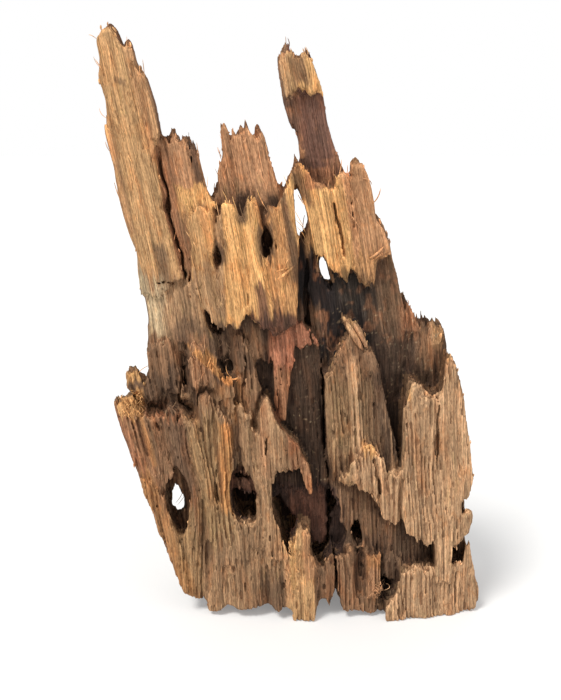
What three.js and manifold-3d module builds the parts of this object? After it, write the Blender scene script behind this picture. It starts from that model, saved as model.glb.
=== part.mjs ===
// A piece of driftwood that stands on its broken base: a slab out of a rotted trunk, worn by water into
// upright layers with torn ends. The layers overlap like shingles, the two tallest run up into spires, and
// rot has left pockets and a few holes right through. It grew as one piece, so it is one solid.
//
// Each layer is an upright sheet with a ribbed, gently bulging face, cut to its own torn outline.
// Outlines are [x, z] points as seen from the front, and depth runs along +y, away from the front.
// Units are millimetres, +z is up, and the origin is at the middle of the base.

import * as THREE from "three";
import { mergeVertices } from "three/addons/utils/BufferGeometryUtils.js";
import Module from "manifold-3d";

// Driving dimensions.
const CROWN_X = 5; // where the bulging front stands furthest forward
const BULGE_RADIUS = 200; // of the trunk's layers, seen from above
const RECLINE = 0.02; // how far the layers lean back for each millimetre of height
const RIB_PITCH = 4.5; // between the long ribs on a layer's face
const RIB_RELIEF = 0.9; // how far those ribs stand proud or sink in
const NEAR = -30; // in front of every layer
const FAR = 80; // behind every layer
const FACE_DEPTH = 8; // the typical depth of the front, where slanted holes keep their outline
const BASE_SPAN = 400; // wider than the whole piece
const STAGGER = 0.017; // each layer sits this much further over than the last, so no two walls line up
const FINEST_DETAIL = 0.12; // smaller steps where layers meet are smoothed away

const wasm = await Module();
wasm.setup();

// The depth that the trunk's curve adds at x.
function bulge(x) {
  return (x - CROWN_X) ** 2 / (2 * BULGE_RADIUS);
}

// A repeatable value from -1 to 1.
function wobble(step, seed) {
  return Math.sin(step * 2.399 + seed * 1.7) * Math.cos(step * 1.13 + seed * 3.1);
}

function solidFrom(geometry) {
  geometry.deleteAttribute("normal");
  geometry.deleteAttribute("uv");
  const merged = mergeVertices(geometry, 1e-4);
  const mesh = new wasm.Mesh({
    numProp: 3,
    vertProperties: merged.attributes.position.array,
    triVerts: new Uint32Array(merged.index.array),
  });
  return new wasm.Manifold(mesh);
}

// The outline carried back between two depths, drifting sideways and in height as it goes.
function prism(outline, { from = NEAR, to = FAR, driftX = 0, driftZ = 0 } = {}) {
  const shape = new THREE.Shape(outline.map(([x, z]) => new THREE.Vector2(x, z)));
  const geometry = new THREE.ExtrudeGeometry(shape, { depth: to - from, bevelEnabled: false });
  geometry.rotateX(Math.PI / 2); // the shape's height becomes z, and its depth runs towards the front
  geometry.translate(0, to - FACE_DEPTH, 0);
  geometry.applyMatrix4(new THREE.Matrix4().makeShear(0, 0, driftX, driftZ, 0, 0));
  geometry.translate(0, FACE_DEPTH, 0);
  return solidFrom(geometry);
}

// An upright ribbed sheet that covers the outline. Its ribs lean with the grain, in x for each z.
function sheet({ outline, front, back, lean = 0, relief = RIB_RELIEF }, seed) {
  const heights = outline.map(([, z]) => z);
  const low = Math.min(...heights) - 1;
  const high = Math.max(...heights) + 1;
  const middle = (low + high) / 2;
  const offsets = outline.map(([x, z]) => x - lean * z);
  const left = Math.min(...offsets) - 1;
  const ribs = Math.ceil((Math.max(...offsets) + 1 - left) / RIB_PITCH);
  const point = (i, depth, layer) => {
    const u = left + i * RIB_PITCH;
    return new THREE.Vector2(u, depth + bulge(u + lean * middle) + relief * wobble(i, seed + layer));
  };
  const section = [];
  for (let i = 0; i <= ribs; i++) section.push(point(i, front, 0));
  for (let i = ribs; i >= 0; i--) section.push(point(i, back, 5));
  const geometry = new THREE.ExtrudeGeometry(new THREE.Shape(section), {
    depth: high - low,
    bevelEnabled: false,
  });
  geometry.translate(0, 0, low);
  geometry.applyMatrix4(new THREE.Matrix4().makeShear(0, 0, 0, 0, lean, RECLINE));
  return solidFrom(geometry);
}

// The upper layers: two spires, the shoulder and crown between them, and the paler blocks in front.
const upperLayers = [
  {
    name: "left spire", spread: -0.09, front: -2, back: 12, lean: -0.22,
    outline: [
      [-57, 125], [-57.8, 140], [-60, 146], [-62, 153], [-63.6, 160], [-65, 170], [-67, 179],
      [-67.9, 183],
      [-66.4, 187], [-66.8, 194], [-68.8, 200], [-68, 206], [-68.8, 212], [-66.5, 216.5], [-64.5, 218],
      [-62.8, 216.5], [-61, 213], [-59.8, 210.8], [-57, 211.8], [-55.6, 208.5], [-55, 205], [-51.7, 200],
      [-49.2, 191], [-48, 183], [-47.3, 176], [-46.5, 160], [-43, 146], [-40, 131], [-45, 129],
      [-50, 125],
    ],
  },
  {
    name: "left shoulder", spread: -0.09, front: 2.5, back: 14, lean: -0.2,
    outline: [
      [-38, 112], [-41, 127], [-44.5, 146], [-48, 160], [-50, 172], [-49.5, 178], [-47.3, 179.3],
      [-44.5, 179], [-42.2, 181.2], [-41.2, 178.5], [-39.8, 177.8], [-37.9, 181], [-36, 178.4],
      [-34.8, 175], [-33.2, 168], [-31.8, 161], [-29.6, 158], [-27, 150], [-27, 112],
    ],
  },
  {
    name: "crown", spread: -0.06, front: 5.5, back: 17, lean: -0.14,
    outline: [
      [-32, 100], [-32, 150], [-31.2, 158], [-30, 160.5], [-28.5, 164], [-28.2, 169], [-26.5, 173.5],
      [-27.5, 183], [-26, 184.2], [-24.3, 181.8], [-23.2, 180], [-20.8, 180.8], [-19.3, 182.2],
      [-18, 183.4], [-17, 181.2], [-15, 180.8], [-13.4, 182.4], [-12, 180.4], [-9.5, 172], [-7.6, 165],
      [-5, 162.5], [-2.5, 150], [-1.5, 100],
    ],
  },
  {
    name: "pale face", front: 0.5, back: 11, lean: -0.14,
    outline: [
      [-40, 152.5], [-38.3, 154], [-36, 154.5], [-34.5, 155.5], [-32, 154], [-30.3, 154.4], [-29.6, 152],
      [-28.4, 153.5], [-27, 155.5], [-25.5, 157], [-23.5, 157.5], [-21.8, 155.5], [-20.4, 151.5],
      [-18.8, 156], [-16.5, 159.8], [-14.5, 158], [-13, 154], [-12.3, 151], [-11, 156.5], [-9.5, 157.8],
      [-8, 157], [-6.4, 159], [-5.3, 163], [-4, 165.5], [-2.8, 169.6], [-2, 168], [-1.5, 160],
      [-0.7, 151], [0.3, 145], [0.2, 136], [-0.4, 126], [-1, 117], [-4, 113], [-8, 112], [-12, 114.5],
      [-16, 117], [-18, 118], [-20, 117.2], [-21, 115.3], [-22.5, 114.3], [-24.5, 116], [-26, 115.5],
      [-27.7, 113.8], [-28.5, 116], [-30, 116.2], [-31, 117], [-32.5, 119.2], [-34.8, 119.8],
      [-35, 128], [-36, 125.6], [-37.5, 126.5], [-38.5, 130], [-38.5, 138], [-38, 145],
    ],
  },
  {
    name: "slot wall", front: 8, back: 15, lean: -0.1,
    outline: [
      [-2, 115], [0.3, 145], [1.5, 146], [2.5, 148.5], [3.6, 151.5], [4.5, 146], [5.2, 140], [4.2, 133],
      [3, 115],
    ],
  },
  {
    name: "right spire", front: 10, back: 19, lean: -0.2,
    outline: [
      [6, 145], [0.6, 165], [0.6, 173], [0, 180], [-1.5, 184.5], [-3.7, 187.5], [-5.5, 193.5],
      [-6.3, 198], [-7.5, 204], [-7.8, 207.3], [-6.2, 208.5], [-4.8, 211.2], [-3.2, 209],
      [-1, 207.4], [0.5, 207.4], [1.8, 208.2], [3.4, 207.4], [6.5, 200], [8.2, 195], [9.8, 185],
      [13, 175], [16, 167.5], [17.5, 162], [18, 145],
    ],
  },
  {
    name: "right spire cap", front: 6.5, back: 14, lean: -0.2,
    outline: [
      [-5.4, 193.5], [-6.3, 198], [-7.5, 204], [-7.8, 207.3], [-6.2, 208.5], [-4.8, 211.2], [-3.2, 209],
      [-1, 207.4], [0.5, 207.4], [1.8, 208.2], [3.4, 207.4], [6.5, 200], [8.1, 195.2], [6, 196],
      [4.8, 195.6], [3.7, 194.2], [0.5, 195.8], [-1.5, 195.4], [-3, 194.2],
    ],
  },
  {
    name: "right block", front: 4, back: 15, lean: -0.2,
    outline: [
      [-0.4, 163], [-1.9, 165], [-2, 171], [-1.2, 172.7], [0.4, 170.6], [1.6, 170.2], [3, 169.4],
      [4.5, 165], [7, 164.2], [9, 163.7], [11, 162.8], [12.2, 164], [13, 166], [14.5, 167.6],
      [16, 166.5], [17.3, 165], [18, 166.5], [18.3, 171], [20.4, 172.6], [21.7, 171.5], [22.5, 169],
      [24, 166.5], [25, 163], [26, 158], [26.5, 153], [27.5, 150.5], [29.5, 148.5], [30, 146.5],
      [31.6, 143.5], [31.8, 141.5], [27.5, 137.5], [26.5, 134], [26, 130], [25, 126.3], [23, 129],
      [21, 131], [19.5, 133.5], [18.5, 131.5], [16.8, 130.2], [15, 131.5], [14, 133], [12.5, 134.5],
      [12, 136], [10.5, 136], [9, 140], [7, 139.8], [5.5, 141], [4.3, 147], [3.5, 152], [2.8, 155.5],
      [1, 160],
    ],
  },
  {
    name: "right shoulder", spread: 0.1, front: 10.5, back: 22, lean: -0.12,
    outline: [
      [1, 60], [1.4, 110], [2.6, 128], [4.6, 139], [7, 146], [16, 150], [27, 152], [30, 147],
      [31.8, 143], [33, 137], [35, 130], [36.4, 123], [37.2, 120.5], [38, 117], [39, 119.2], [40.5, 117],
      [41.5, 114.6], [43.5, 113.4], [45, 111.2], [47, 110.4], [48.4, 112], [50, 110.6], [52, 110.8],
      [53.8, 108.6], [54.5, 103], [56, 95], [58, 60],
    ],
  },
];

// The middle layers: the waist, the ledges on the left, the reddish panel and the ribbed right-hand plate.
const middleLayers = [
  {
    name: "waist", spread: -0.14, front: 3, back: 16, lean: -0.05,
    outline: [
      [-55, 96], [-54.4, 107], [-53.7, 115], [-55, 124], [-57, 131], [-45, 133], [-36, 130], [-34.5, 119],
      [-30, 108], [-30, 90],
    ],
  },
  {
    name: "left ledge", spread: -0.14, front: 1.5, back: 14, lean: -0.1,
    outline: [
      [-62.4, 74], [-63.1, 93.6], [-61.4, 94], [-60.4, 93.6], [-59.6, 96], [-58.6, 93], [-57.4, 91.6],
      [-55.8, 91.6], [-54.5, 94.5], [-54.9, 99], [-55.2, 103], [-53.6, 105], [-50.6, 106.4], [-47, 108],
      [-45.5, 105], [-44.5, 99], [-43, 97.5], [-42.3, 90], [-41, 76],
    ],
  },
  {
    name: "left strip", front: 3, back: 15, lean: -0.05,
    outline: [[-43, 76], [-43, 96.5], [-41.5, 98], [-39.5, 98.2], [-38.6, 95], [-37.5, 88], [-37, 76]],
  },
  {
    name: "fibrous ledge", front: 0.5, back: 14, lean: -0.1,
    outline: [
      [-40, 74], [-39, 90], [-40.3, 97], [-40.2, 102], [-39.3, 105], [-38.5, 109.2], [-37.4, 107.3],
      [-35.5, 106.8], [-33.6, 105], [-32.8, 101], [-31, 99.5], [-29.5, 98.2], [-28.3, 97], [-27.3, 95],
      [-25.8, 94.4], [-24.6, 94.8], [-24, 92.5], [-23, 86], [-20.5, 84], [-18.5, 80], [-18, 56],
      [-38, 56],
    ],
  },
  {
    name: "peg", front: 5, back: 16, lean: -0.15,
    outline: [
      [-26, 66], [-24, 97], [-24.3, 103], [-23.4, 109.6], [-21.8, 111], [-20.4, 109.8], [-18.5, 107],
      [-17, 103], [-15.5, 97], [-14.5, 92], [-12.5, 88.5], [-11.6, 84], [-12, 66],
    ],
  },
  {
    name: "valley floor", front: 10.5, back: 24, lean: -0.1,
    outline: [[-40, 50], [-44, 118], [-6, 122], [0, 112], [8, 108], [10, 50]],
  },
  {
    name: "red crest", front: 6, back: 14, lean: -0.05,
    outline: [
      [-9, 66], [-9.4, 104], [-8, 107], [-7.2, 112], [-6.4, 116.6], [-3.8, 116.2], [-2, 117.3],
      [0.6, 117], [2.5, 113], [5.5, 110], [7.6, 106.2], [4.5, 105.8], [2, 106.4], [-1.5, 105],
      [-2.6, 100], [-3.4, 92], [-4.6, 84], [-6, 66],
    ],
  },
  {
    name: "central panel", front: 8.5, back: 22, lean: -0.02,
    outline: [
      [-10, 46], [-10, 100], [-2, 106], [7.7, 106], [8.6, 100], [9, 92], [9.4, 80], [10.2, 66],
      [12, 56], [13, 46],
    ],
  },
  {
    name: "ribbed plate", front: 1, back: 15, lean: -0.05,
    outline: [
      [12, 56], [10.4, 66], [9.7, 80], [9.3, 91], [9.2, 95.3], [10.6, 96.6], [11.6, 98.6], [12.5, 101],
      [13.4, 103.6], [14.5, 105.6], [15.5, 106.6], [17, 107.6], [18.5, 110.4], [19.6, 109.8],
      [20.6, 108], [22.2, 107], [24, 106.9], [25.6, 106.4], [27.4, 103], [28.6, 100], [29.5, 97],
      [30.3, 93], [31.2, 88], [32.5, 81], [34.5, 74], [36.5, 66], [38, 56],
    ],
  },
  {
    name: "loose splinter", front: 2.5, back: 8, lean: -0.5, relief: 0.3,
    outline: [[15.8, 115.4], [17.5, 116.5], [22.6, 107], [20, 104], [19.4, 108.6]],
  },
  {
    name: "loose splinter beside it", front: 3.5, back: 9, lean: -0.5, relief: 0.3,
    outline: [[18.9, 115.6], [20.6, 116], [24.6, 109.8], [24, 104], [21.6, 104], [22.6, 107.6]],
  },
];

// The lower layers: the wings, plates and tabs round the base.
const lowerLayers = [
  {
    name: "left wing", spread: -0.16, front: -1, back: 11, lean: -0.22,
    outline: [
      [-34, 3.6], [-37.6, 4.6], [-40.4, 5.4], [-42.6, 6.6], [-44.6, 9.6], [-45.8, 13.4], [-48, 16.6],
      [-49.6, 20.4], [-50.8, 25], [-51.8, 29], [-53.6, 33], [-54.6, 39], [-55.8, 43.5], [-57.8, 47],
      [-59.6, 51.6], [-61, 56], [-62.8, 60], [-64.2, 65], [-66.4, 70.8], [-67.6, 75], [-68.4, 79],
      [-69.6, 84.4], [-67.2, 83.2], [-64.2, 83.5], [-61.4, 82.6], [-59.6, 80.6], [-58.8, 78.6],
      [-56, 79], [-53.5, 80.2], [-51, 79.4], [-49, 81.4], [-47.1, 84.1], [-45.5, 82], [-42.8, 80.2],
      [-39, 78], [-34, 60], [-30, 30], [-30, 3.4],
    ],
  },
  {
    name: "wing strip", front: -2.4, back: 4, lean: -0.22, relief: 0.5,
    outline: [
      [-42.6, 7], [-44.6, 9.8], [-45.8, 13.6], [-48, 16.8], [-49.6, 20.6], [-50.8, 25], [-51.8, 29],
      [-53.6, 33], [-54.6, 39], [-55.8, 43.5], [-57.8, 47], [-59.6, 51.6], [-61, 56], [-57, 54],
      [-53.5, 51.5], [-51, 47.5], [-50, 43], [-48.2, 37], [-46, 31], [-44.6, 28], [-44, 20], [-42, 10],
    ],
  },
  {
    name: "left plate", front: -0.5, back: 16, lean: -0.06,
    outline: [
      [-34.6, 1.6], [-36, 6], [-36.5, 14], [-35.5, 32], [-35.8, 45], [-37.5, 58], [-39, 66], [-40.8, 75],
      [-41.9, 79.8], [-40.4, 79.2], [-39.4, 77], [-38.4, 80.5], [-37.6, 84], [-37, 87.3], [-35.5, 89.2],
      [-33.8, 89.2], [-31.8, 87.3], [-30.6, 84], [-28.8, 84.6], [-27.3, 83], [-26.2, 79], [-25.6, 70],
      [-25.2, 58], [-24, 54], [-14, 54], [-10.5, 54], [-10.3, 46], [-9.5, 42], [-7.5, 37], [-5, 30],
      [-2, 26], [-2, 3.6], [-8, 3.2], [-12, 2.4], [-17, 2.9], [-22, 2.4], [-27, 2.6], [-31, 1.6],
    ],
  },
  {
    name: "centre tongue", front: 0, back: 7.5, lean: -0.08,
    outline: [
      [-20.7, 79.5], [-19, 81.2], [-17.4, 81], [-16.3, 79.5], [-15.9, 75.5], [-15.1, 80], [-14.6, 84],
      [-13.8, 86.5], [-12.8, 87.8], [-11.5, 87.8], [-10.4, 86.2], [-9.5, 83], [-8.9, 80.5], [-7.8, 78.5],
      [-6.5, 75.5], [-5, 74.3], [-4, 72.5], [-2, 71], [0, 69.5], [0.8, 66.8], [2.2, 64.6], [3.4, 61.5],
      [4.6, 57], [5.2, 53], [4.3, 50.4], [3, 52], [1.6, 57], [0.2, 62], [-1.2, 61.8], [-3, 61.2],
      [-5, 60.5], [-7, 59.8], [-8.4, 59.4], [-8.8, 57], [-9.4, 54.6], [-10.3, 54.3], [-11, 52],
      [-12, 50.5], [-13.3, 49], [-14.3, 48.6], [-15, 49.6], [-16, 51.5], [-17, 55], [-18, 58],
      [-19, 62], [-19.8, 68], [-20.5, 75],
    ],
  },
  {
    name: "right plate", front: -3.5, back: 7, lean: -0.08,
    outline: [
      [14, 57], [19, 62], [23, 69.5], [25.6, 71.2], [27, 71], [28, 69.5], [29, 67.5], [31, 66],
      [32.5, 63.5], [33.5, 60.5], [35.5, 59], [37.5, 59], [38.1, 62], [38.1, 72], [38.2, 80],
      [38.6, 86], [39.2, 90], [39, 93], [40, 94.2], [42, 93], [43.6, 91.5], [45, 89.5], [47, 87.4],
      [48.5, 87], [50.6, 88], [52.3, 90], [53, 94], [53.4, 101.5], [54.5, 102.4], [57, 99.3],
      [58.4, 94], [60, 86], [61.2, 78], [63, 70], [64.4, 60], [65.8, 55], [64.2, 52.5], [63.6, 49],
      [62.4, 47.5], [60.8, 44.5], [61, 41], [62.8, 40.6], [64.8, 42.6], [65.4, 40], [64.2, 36],
      [62.6, 34], [61.6, 31.4], [60, 29], [58.8, 30.6], [58.2, 27], [57.6, 22], [58, 14], [52, 14],
      [52.2, 22.5], [51.8, 29], [51.2, 31.6], [50, 29.8], [48.6, 30.2], [47, 31.5], [44.5, 33],
      [43.5, 35.2], [41.5, 35], [40, 37.5], [39.5, 40.5], [37.5, 41], [36.5, 39.3], [34, 39.5],
      [32.5, 41], [30.5, 43], [29.3, 46.2], [28, 49], [27, 51], [24.5, 52.5], [22, 54], [19, 55.6],
    ],
  },
  {
    name: "inner right layer", front: 4.5, back: 26, lean: -0.04,
    outline: [
      [14.8, 2.2], [12.6, 20], [12, 40], [11.6, 58], [30, 62], [40, 66], [58, 90], [62, 70], [64, 52],
      [64.6, 45], [65, 30], [67, 12], [66, 1.2],
    ],
  },
  {
    name: "hollow's inner board", front: 11.5, back: 24, lean: -0.03,
    outline: [
      [1, 22], [-2, 34], [-7, 42.5], [-8.5, 50], [-4, 56], [11, 56], [12, 46], [10.6, 38], [11, 30],
      [9, 22],
    ],
  },
];

// Tabs and stubs along the foot. They stand in front of the hollows.
const footLayers = [
  {
    name: "front tab", front: -0.8, back: 9, lean: -0.06,
    outline: [
      [-2, -2], [-2.4, 10], [-3.4, 15], [-4, 20], [-3.8, 23], [-2, 24.5], [-1.9, 27.5], [-3.4, 30],
      [-3.9, 32.2], [-2.5, 31.4], [-1.2, 31.2], [-1.6, 34], [-0.4, 37.4], [1, 37], [1.8, 35.2],
      [3, 36.2], [3.9, 34.2], [3.8, 30.5], [3.2, 28], [5, 25], [6.6, 22], [7.6, 19], [6.8, 8],
      [6.2, -2],
    ],
  },
  {
    name: "tab beside the crack", front: 1, back: 16, lean: -0.03,
    outline: [
      [5, 2.4], [6, 20], [7.4, 20.6], [8.5, 20.2], [9.4, 20.8], [10, 22.6], [11.5, 25], [12.4, 27.2],
      [13.4, 26], [14, 24.4], [14, 18], [14.3, 12], [13.6, 8], [13, 1.6],
    ],
  },
  {
    name: "inner foot", front: 1.5, back: 16, lean: -0.04,
    outline: [
      [16.4, 2.2], [15.6, 8], [14.7, 12], [14.6, 25.6], [16.2, 25.4], [18, 26.6], [19.6, 29.4],
      [20.6, 27], [24.4, 27.5], [25.2, 24], [26.5, 18], [28.6, 9], [34, 6.5], [34, 0.6], [28, 0.9],
      [22, 2],
    ],
  },
  {
    name: "torn stub", front: 0.5, back: 9, lean: -0.03,
    outline: [
      [26.6, 8], [26.2, 25.4], [27.6, 25], [28.4, 26.6], [29.6, 25.4], [30.7, 27.8], [31.8, 26.8],
      [31.3, 21], [31.6, 15], [33, 9],
    ],
  },
  {
    name: "torn stub beside it", front: 2.6, back: 9, lean: -0.03,
    outline: [
      [31.5, 14], [32.2, 21], [33.4, 23.2], [34.5, 22.2], [36, 24.2], [37.2, 22.2], [39.4, 23],
      [39.4, 12],
    ],
  },
  {
    name: "right foot", front: -2.8, back: 14, lean: -0.04,
    outline: [
      [33, -2], [33.2, 4.5], [34.6, 7.6], [36.6, 9.4], [37.6, 13], [38.5, 17], [40, 19.2], [42, 19.7],
      [44, 20.6], [46, 20.6], [48, 19.5], [50, 19.4], [52, 19.6], [54, 24], [56.5, 24], [58.3, 20],
      [61, 20.6], [62.5, 19], [64, 26], [65, 31], [65.4, 27], [66.4, 22], [67.8, 18], [69.6, 12],
      [70.6, 8], [70.2, 4], [68, -2],
    ],
  },
];

// The hidden back: the heart of the slab and the long plates that close it behind.
const backLayers = [
  {
    name: "heart", front: 21, back: 38, lean: 0,
    outline: [
      [-36, -2], [-37, 40], [-40, 80], [-38, 112], [-28, 130], [-8, 134], [6, 118], [22, 128], [36, 112],
      [48, 100], [56, 70], [60, 40], [62, -2],
    ],
  },
  {
    name: "back left plate", front: 16, back: 30, lean: -0.12,
    outline: [
      [-34, -2], [-41, 30], [-50, 62], [-55, 78], [-56, 92], [-52, 88], [-51, 112], [-50, 126],
      [-47, 139], [-44, 131], [-41, 150], [-38, 156], [-36, 146], [-31, 136], [-24, 122], [-18, 60],
      [-16, -2],
    ],
  },
  {
    name: "back middle plate", front: 30, back: 46, lean: -0.06,
    outline: [
      [-26, -2], [-30, 40], [-33, 84], [-34, 103], [-30, 98], [-27, 118], [-22, 128], [-19, 112],
      [-14, 107], [-11, 116], [-6, 96], [2, 88], [6, 60], [8, -2],
    ],
  },
  {
    name: "back right plate", front: 28, back: 42, lean: -0.08,
    outline: [
      [2, -2], [4, 60], [8, 88], [11, 106], [15, 100], [19, 118], [24, 126], [27, 112], [33, 100],
      [37, 108], [43, 90], [49, 96], [54, 70], [58, 40], [60, -2],
    ],
  },
];

// Rot pockets and holes, each cut back from in front of every layer to a depth.
const pockets = [
  {
    name: "left eye", to: 15,
    outline: [
      [-45.2, 59.5], [-43.2, 57.8], [-41.2, 54.8], [-40.2, 51], [-40.3, 45], [-40.8, 38], [-42, 33.5],
      [-44, 31], [-46, 33.5], [-47.8, 37.5], [-48.3, 40.5], [-49.5, 45], [-50.2, 49], [-49.7, 54],
      [-48, 55], [-46.8, 57.5],
    ],
  },
  {
    name: "left eye's way through", to: FAR, driftX: -0.12, driftZ: -0.42,
    outline: [
      [-46.8, 53], [-44.8, 51.8], [-43.2, 48], [-43, 44], [-44, 42], [-46, 42.4], [-47.6, 45],
      [-47, 49],
    ],
  },
  {
    name: "left eye's side slit", to: FAR, driftX: -0.12, driftZ: -0.42,
    outline: [[-50, 47.8], [-49, 47.6], [-48.6, 44], [-47.8, 40], [-48, 38], [-49, 41.5]],
  },
  {
    name: "high slot", to: FAR, driftX: 0.04, driftZ: -0.13,
    outline: [
      [7, 139.6], [8.3, 140.4], [9.6, 137.6], [10.6, 134.6], [12.6, 128.8], [10.4, 129.4],
      [8.5, 131.6], [7, 135.6],
    ],
  },
  {
    name: "knot hole in the pale face", to: 14,
    outline: [
      [-13.3, 147], [-12.3, 148.2], [-11, 147.8], [-10.3, 146], [-9, 144.6], [-8.5, 142], [-9.3, 140],
      [-10.5, 138.6], [-11.5, 138.8], [-12, 141], [-12.8, 144.5],
    ],
  },
  {
    name: "worm hole in the pale face", to: 12,
    outline: [
      [-29.4, 139], [-28.8, 141.4], [-27.6, 141.2], [-26.8, 138.6], [-27, 136], [-28, 135.4],
      [-29, 137],
    ],
  },
  {
    name: "undercut below the pale face", to: 22,
    outline: [
      [-34.7, 119.6], [-32.4, 119.4], [-31, 117.2], [-29.4, 116], [-28, 113.6], [-27.8, 111.5],
      [-29, 109.3], [-30.6, 109], [-32.6, 111], [-34, 115],
    ],
  },
  {
    name: "left pocket", to: 22,
    outline: [
      [-24.9, 50], [-22.5, 50.3], [-20, 50], [-18, 49.2], [-15.7, 48.9], [-15.1, 46], [-15, 40],
      [-16, 37.4], [-18.4, 39], [-20.5, 38], [-22.5, 40.4], [-24.2, 43.5],
    ],
  },
  {
    name: "niche above it", to: 8,
    outline: [
      [-25, 49.8], [-25.3, 55], [-24.4, 58.6], [-22.5, 59.6], [-19.4, 59.6], [-17, 55], [-14, 50],
      [-15.7, 48.8], [-20, 49.8],
    ],
  },
  {
    name: "great hollow", to: 12.6,
    outline: [
      [-10, 45], [-8.6, 47.6], [-7, 50], [-5, 50.6], [-3.5, 50.3], [-2, 49.2], [0, 49.2], [2.5, 50.5],
      [5, 51.7], [8, 52.1], [10, 51.6], [12, 50.3], [13.6, 48.6], [15.4, 45.6], [15.8, 42], [15.1, 39.6],
      [17, 37.6], [18.2, 35], [18.2, 32], [17, 28], [15, 24.8], [13, 26.4], [10, 22.6], [8.6, 20],
      [6.6, 21], [4, 26], [0, 27], [-3.6, 26.6], [-5, 30], [-6.2, 34], [-7.5, 38], [-9, 41],
    ],
  },
  {
    name: "deep left of the hollow", to: 24,
    outline: [
      [-8.6, 41], [-6, 43], [-3, 40.4], [-0.6, 37], [0, 32], [-1.5, 27.4], [-4.4, 29], [-6, 33.5],
      [-7.4, 38],
    ],
  },
  {
    name: "deep right of the hollow", to: 22,
    outline: [[11, 50.6], [13.6, 48.2], [15.2, 45.4], [15.6, 42], [14, 39], [12, 38.6], [11.2, 44]],
  },
  {
    name: "deep foot of the hollow", to: 24,
    outline: [[5.4, 25.6], [8, 28], [11.6, 27], [10, 22.8], [8.6, 20.2], [6.8, 21]],
  },
  {
    name: "oval hole in the inner layer", to: 24,
    outline: [
      [20.4, 36], [21.2, 38.2], [22.4, 38.6], [23.6, 37], [24.6, 33], [24.6, 29.4], [23.4, 28.4],
      [21.8, 30],
    ],
  },
  {
    name: "groove below it", to: 6.5,
    outline: [[20.8, 27.6], [24.6, 27.4], [24.8, 20], [24, 14.6], [22.4, 14], [21, 18]],
  },
  {
    name: "hole in the right edge", to: 18,
    outline: [
      [58.8, 30.4], [60, 28.8], [61.6, 31], [61.4, 26], [61.2, 21], [59.6, 20.2], [58, 22],
      [58.4, 26.6],
    ],
  },
  {
    name: "small hole above it", to: 16,
    outline: [[61, 47.4], [62.8, 47.6], [63.2, 44.4], [62.8, 41.2], [61.4, 41], [60.8, 44.4]],
  },
  {
    name: "recess beside the fibrous ledge", to: 12,
    outline: [
      [-44.6, 99.4], [-45.4, 104.6], [-44.4, 108], [-42, 107.6], [-40.6, 105], [-40.4, 98.6],
      [-42.8, 97.6],
    ],
  },
  {
    name: "gap in the left ledge", to: 14,
    outline: [[-58.8, 90.6], [-58.6, 92.8], [-56.6, 92.4], [-55.6, 90.4], [-57, 89.4]],
  },
];

// Gaps cut through the tabs and stubs as well.
const footGaps = [
  {
    name: "base notch", to: FAR, driftX: 0.03, driftZ: 0,
    outline: [[13, -1], [13.4, 7], [14.2, 10], [15.6, 9], [17.2, 5], [16.8, -1]],
  },
  {
    name: "arch in the tab's foot", to: 12,
    outline: [[7, -1], [7.4, 4.6], [8.8, 7.4], [10.6, 7.6], [11.6, 5], [12, -1]],
  },
  {
    name: "hole at the right foot", to: 20,
    outline: [[32, 13.4], [33.4, 15], [35.6, 14], [36.8, 10.6], [35.4, 8.8], [33.2, 9]],
  },
];

function joinLayers(layers, firstSeed) {
  return layers
    .map((layer, i) => {
      const seed = firstSeed + i;
      const shift = seed * STAGGER;
      const edges = prism(layer.outline, { driftX: layer.spread });
      return sheet(layer, seed).intersect(edges).translate([shift, shift, shift]);
    })
    .reduce((joined, piece) => joined.add(piece));
}

function cutAll(wood, cuts) {
  return cuts.reduce((left, { outline, ...reach }) => left.subtract(prism(outline, reach)), wood);
}

function build() {
  const behind = [...upperLayers, ...middleLayers, ...lowerLayers, ...backLayers];
  const hollowed = cutAll(joinLayers(behind, 0), pockets);
  const standing = cutAll(hollowed.add(joinLayers(footLayers, behind.length)), footGaps);
  const ground = new THREE.BoxGeometry(BASE_SPAN, BASE_SPAN, BASE_SPAN);
  ground.translate(0, 0, -BASE_SPAN / 2);
  const wood = standing.subtract(solidFrom(ground));
  const { min, max } = wood.boundingBox();
  const centred = wood.translate([-(min[0] + max[0]) / 2, -(min[1] + max[1]) / 2, -min[2]]);
  // A gap sealed in between layers comes out as a shell of its own, so the largest shell is the wood.
  const shells = centred.simplify(FINEST_DETAIL).decompose();
  return shells.reduce((largest, shell) => (shell.volume() > largest.volume() ? shell : largest));
}

function meshFrom(solid, name, material) {
  const { vertProperties, triVerts } = solid.getMesh();
  const geometry = new THREE.BufferGeometry();
  geometry.setAttribute("position", new THREE.BufferAttribute(vertProperties, 3));
  geometry.setIndex(new THREE.BufferAttribute(triVerts, 1));
  geometry.computeVertexNormals();
  const mesh = new THREE.Mesh(geometry, material);
  mesh.name = name;
  return mesh;
}

const weatheredWood = new THREE.MeshStandardMaterial({ color: 0x8a6a4a, roughness: 0.85, metalness: 0 });
const driftwood = new THREE.Group();
driftwood.add(meshFrom(build(), "driftwood", weatheredWood));

export default driftwood;
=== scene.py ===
"""A piece of driftwood on a pale studio floor.

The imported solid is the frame. Its surface is turned into a field of distances, worn along the grain in
that field, and meshed again: ridges, pits, cracks and torn ends are all real shape. The carving code works
in outline coordinates: millimetres, with x to the right, y away from the viewer and z up, moved from the
row's own origin by BASE_MIDDLE. "level" is a surface's depth behind the trunk's curve, and "front" holds
the depth where the wood starts for each (x, z).
"""

import math

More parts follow.
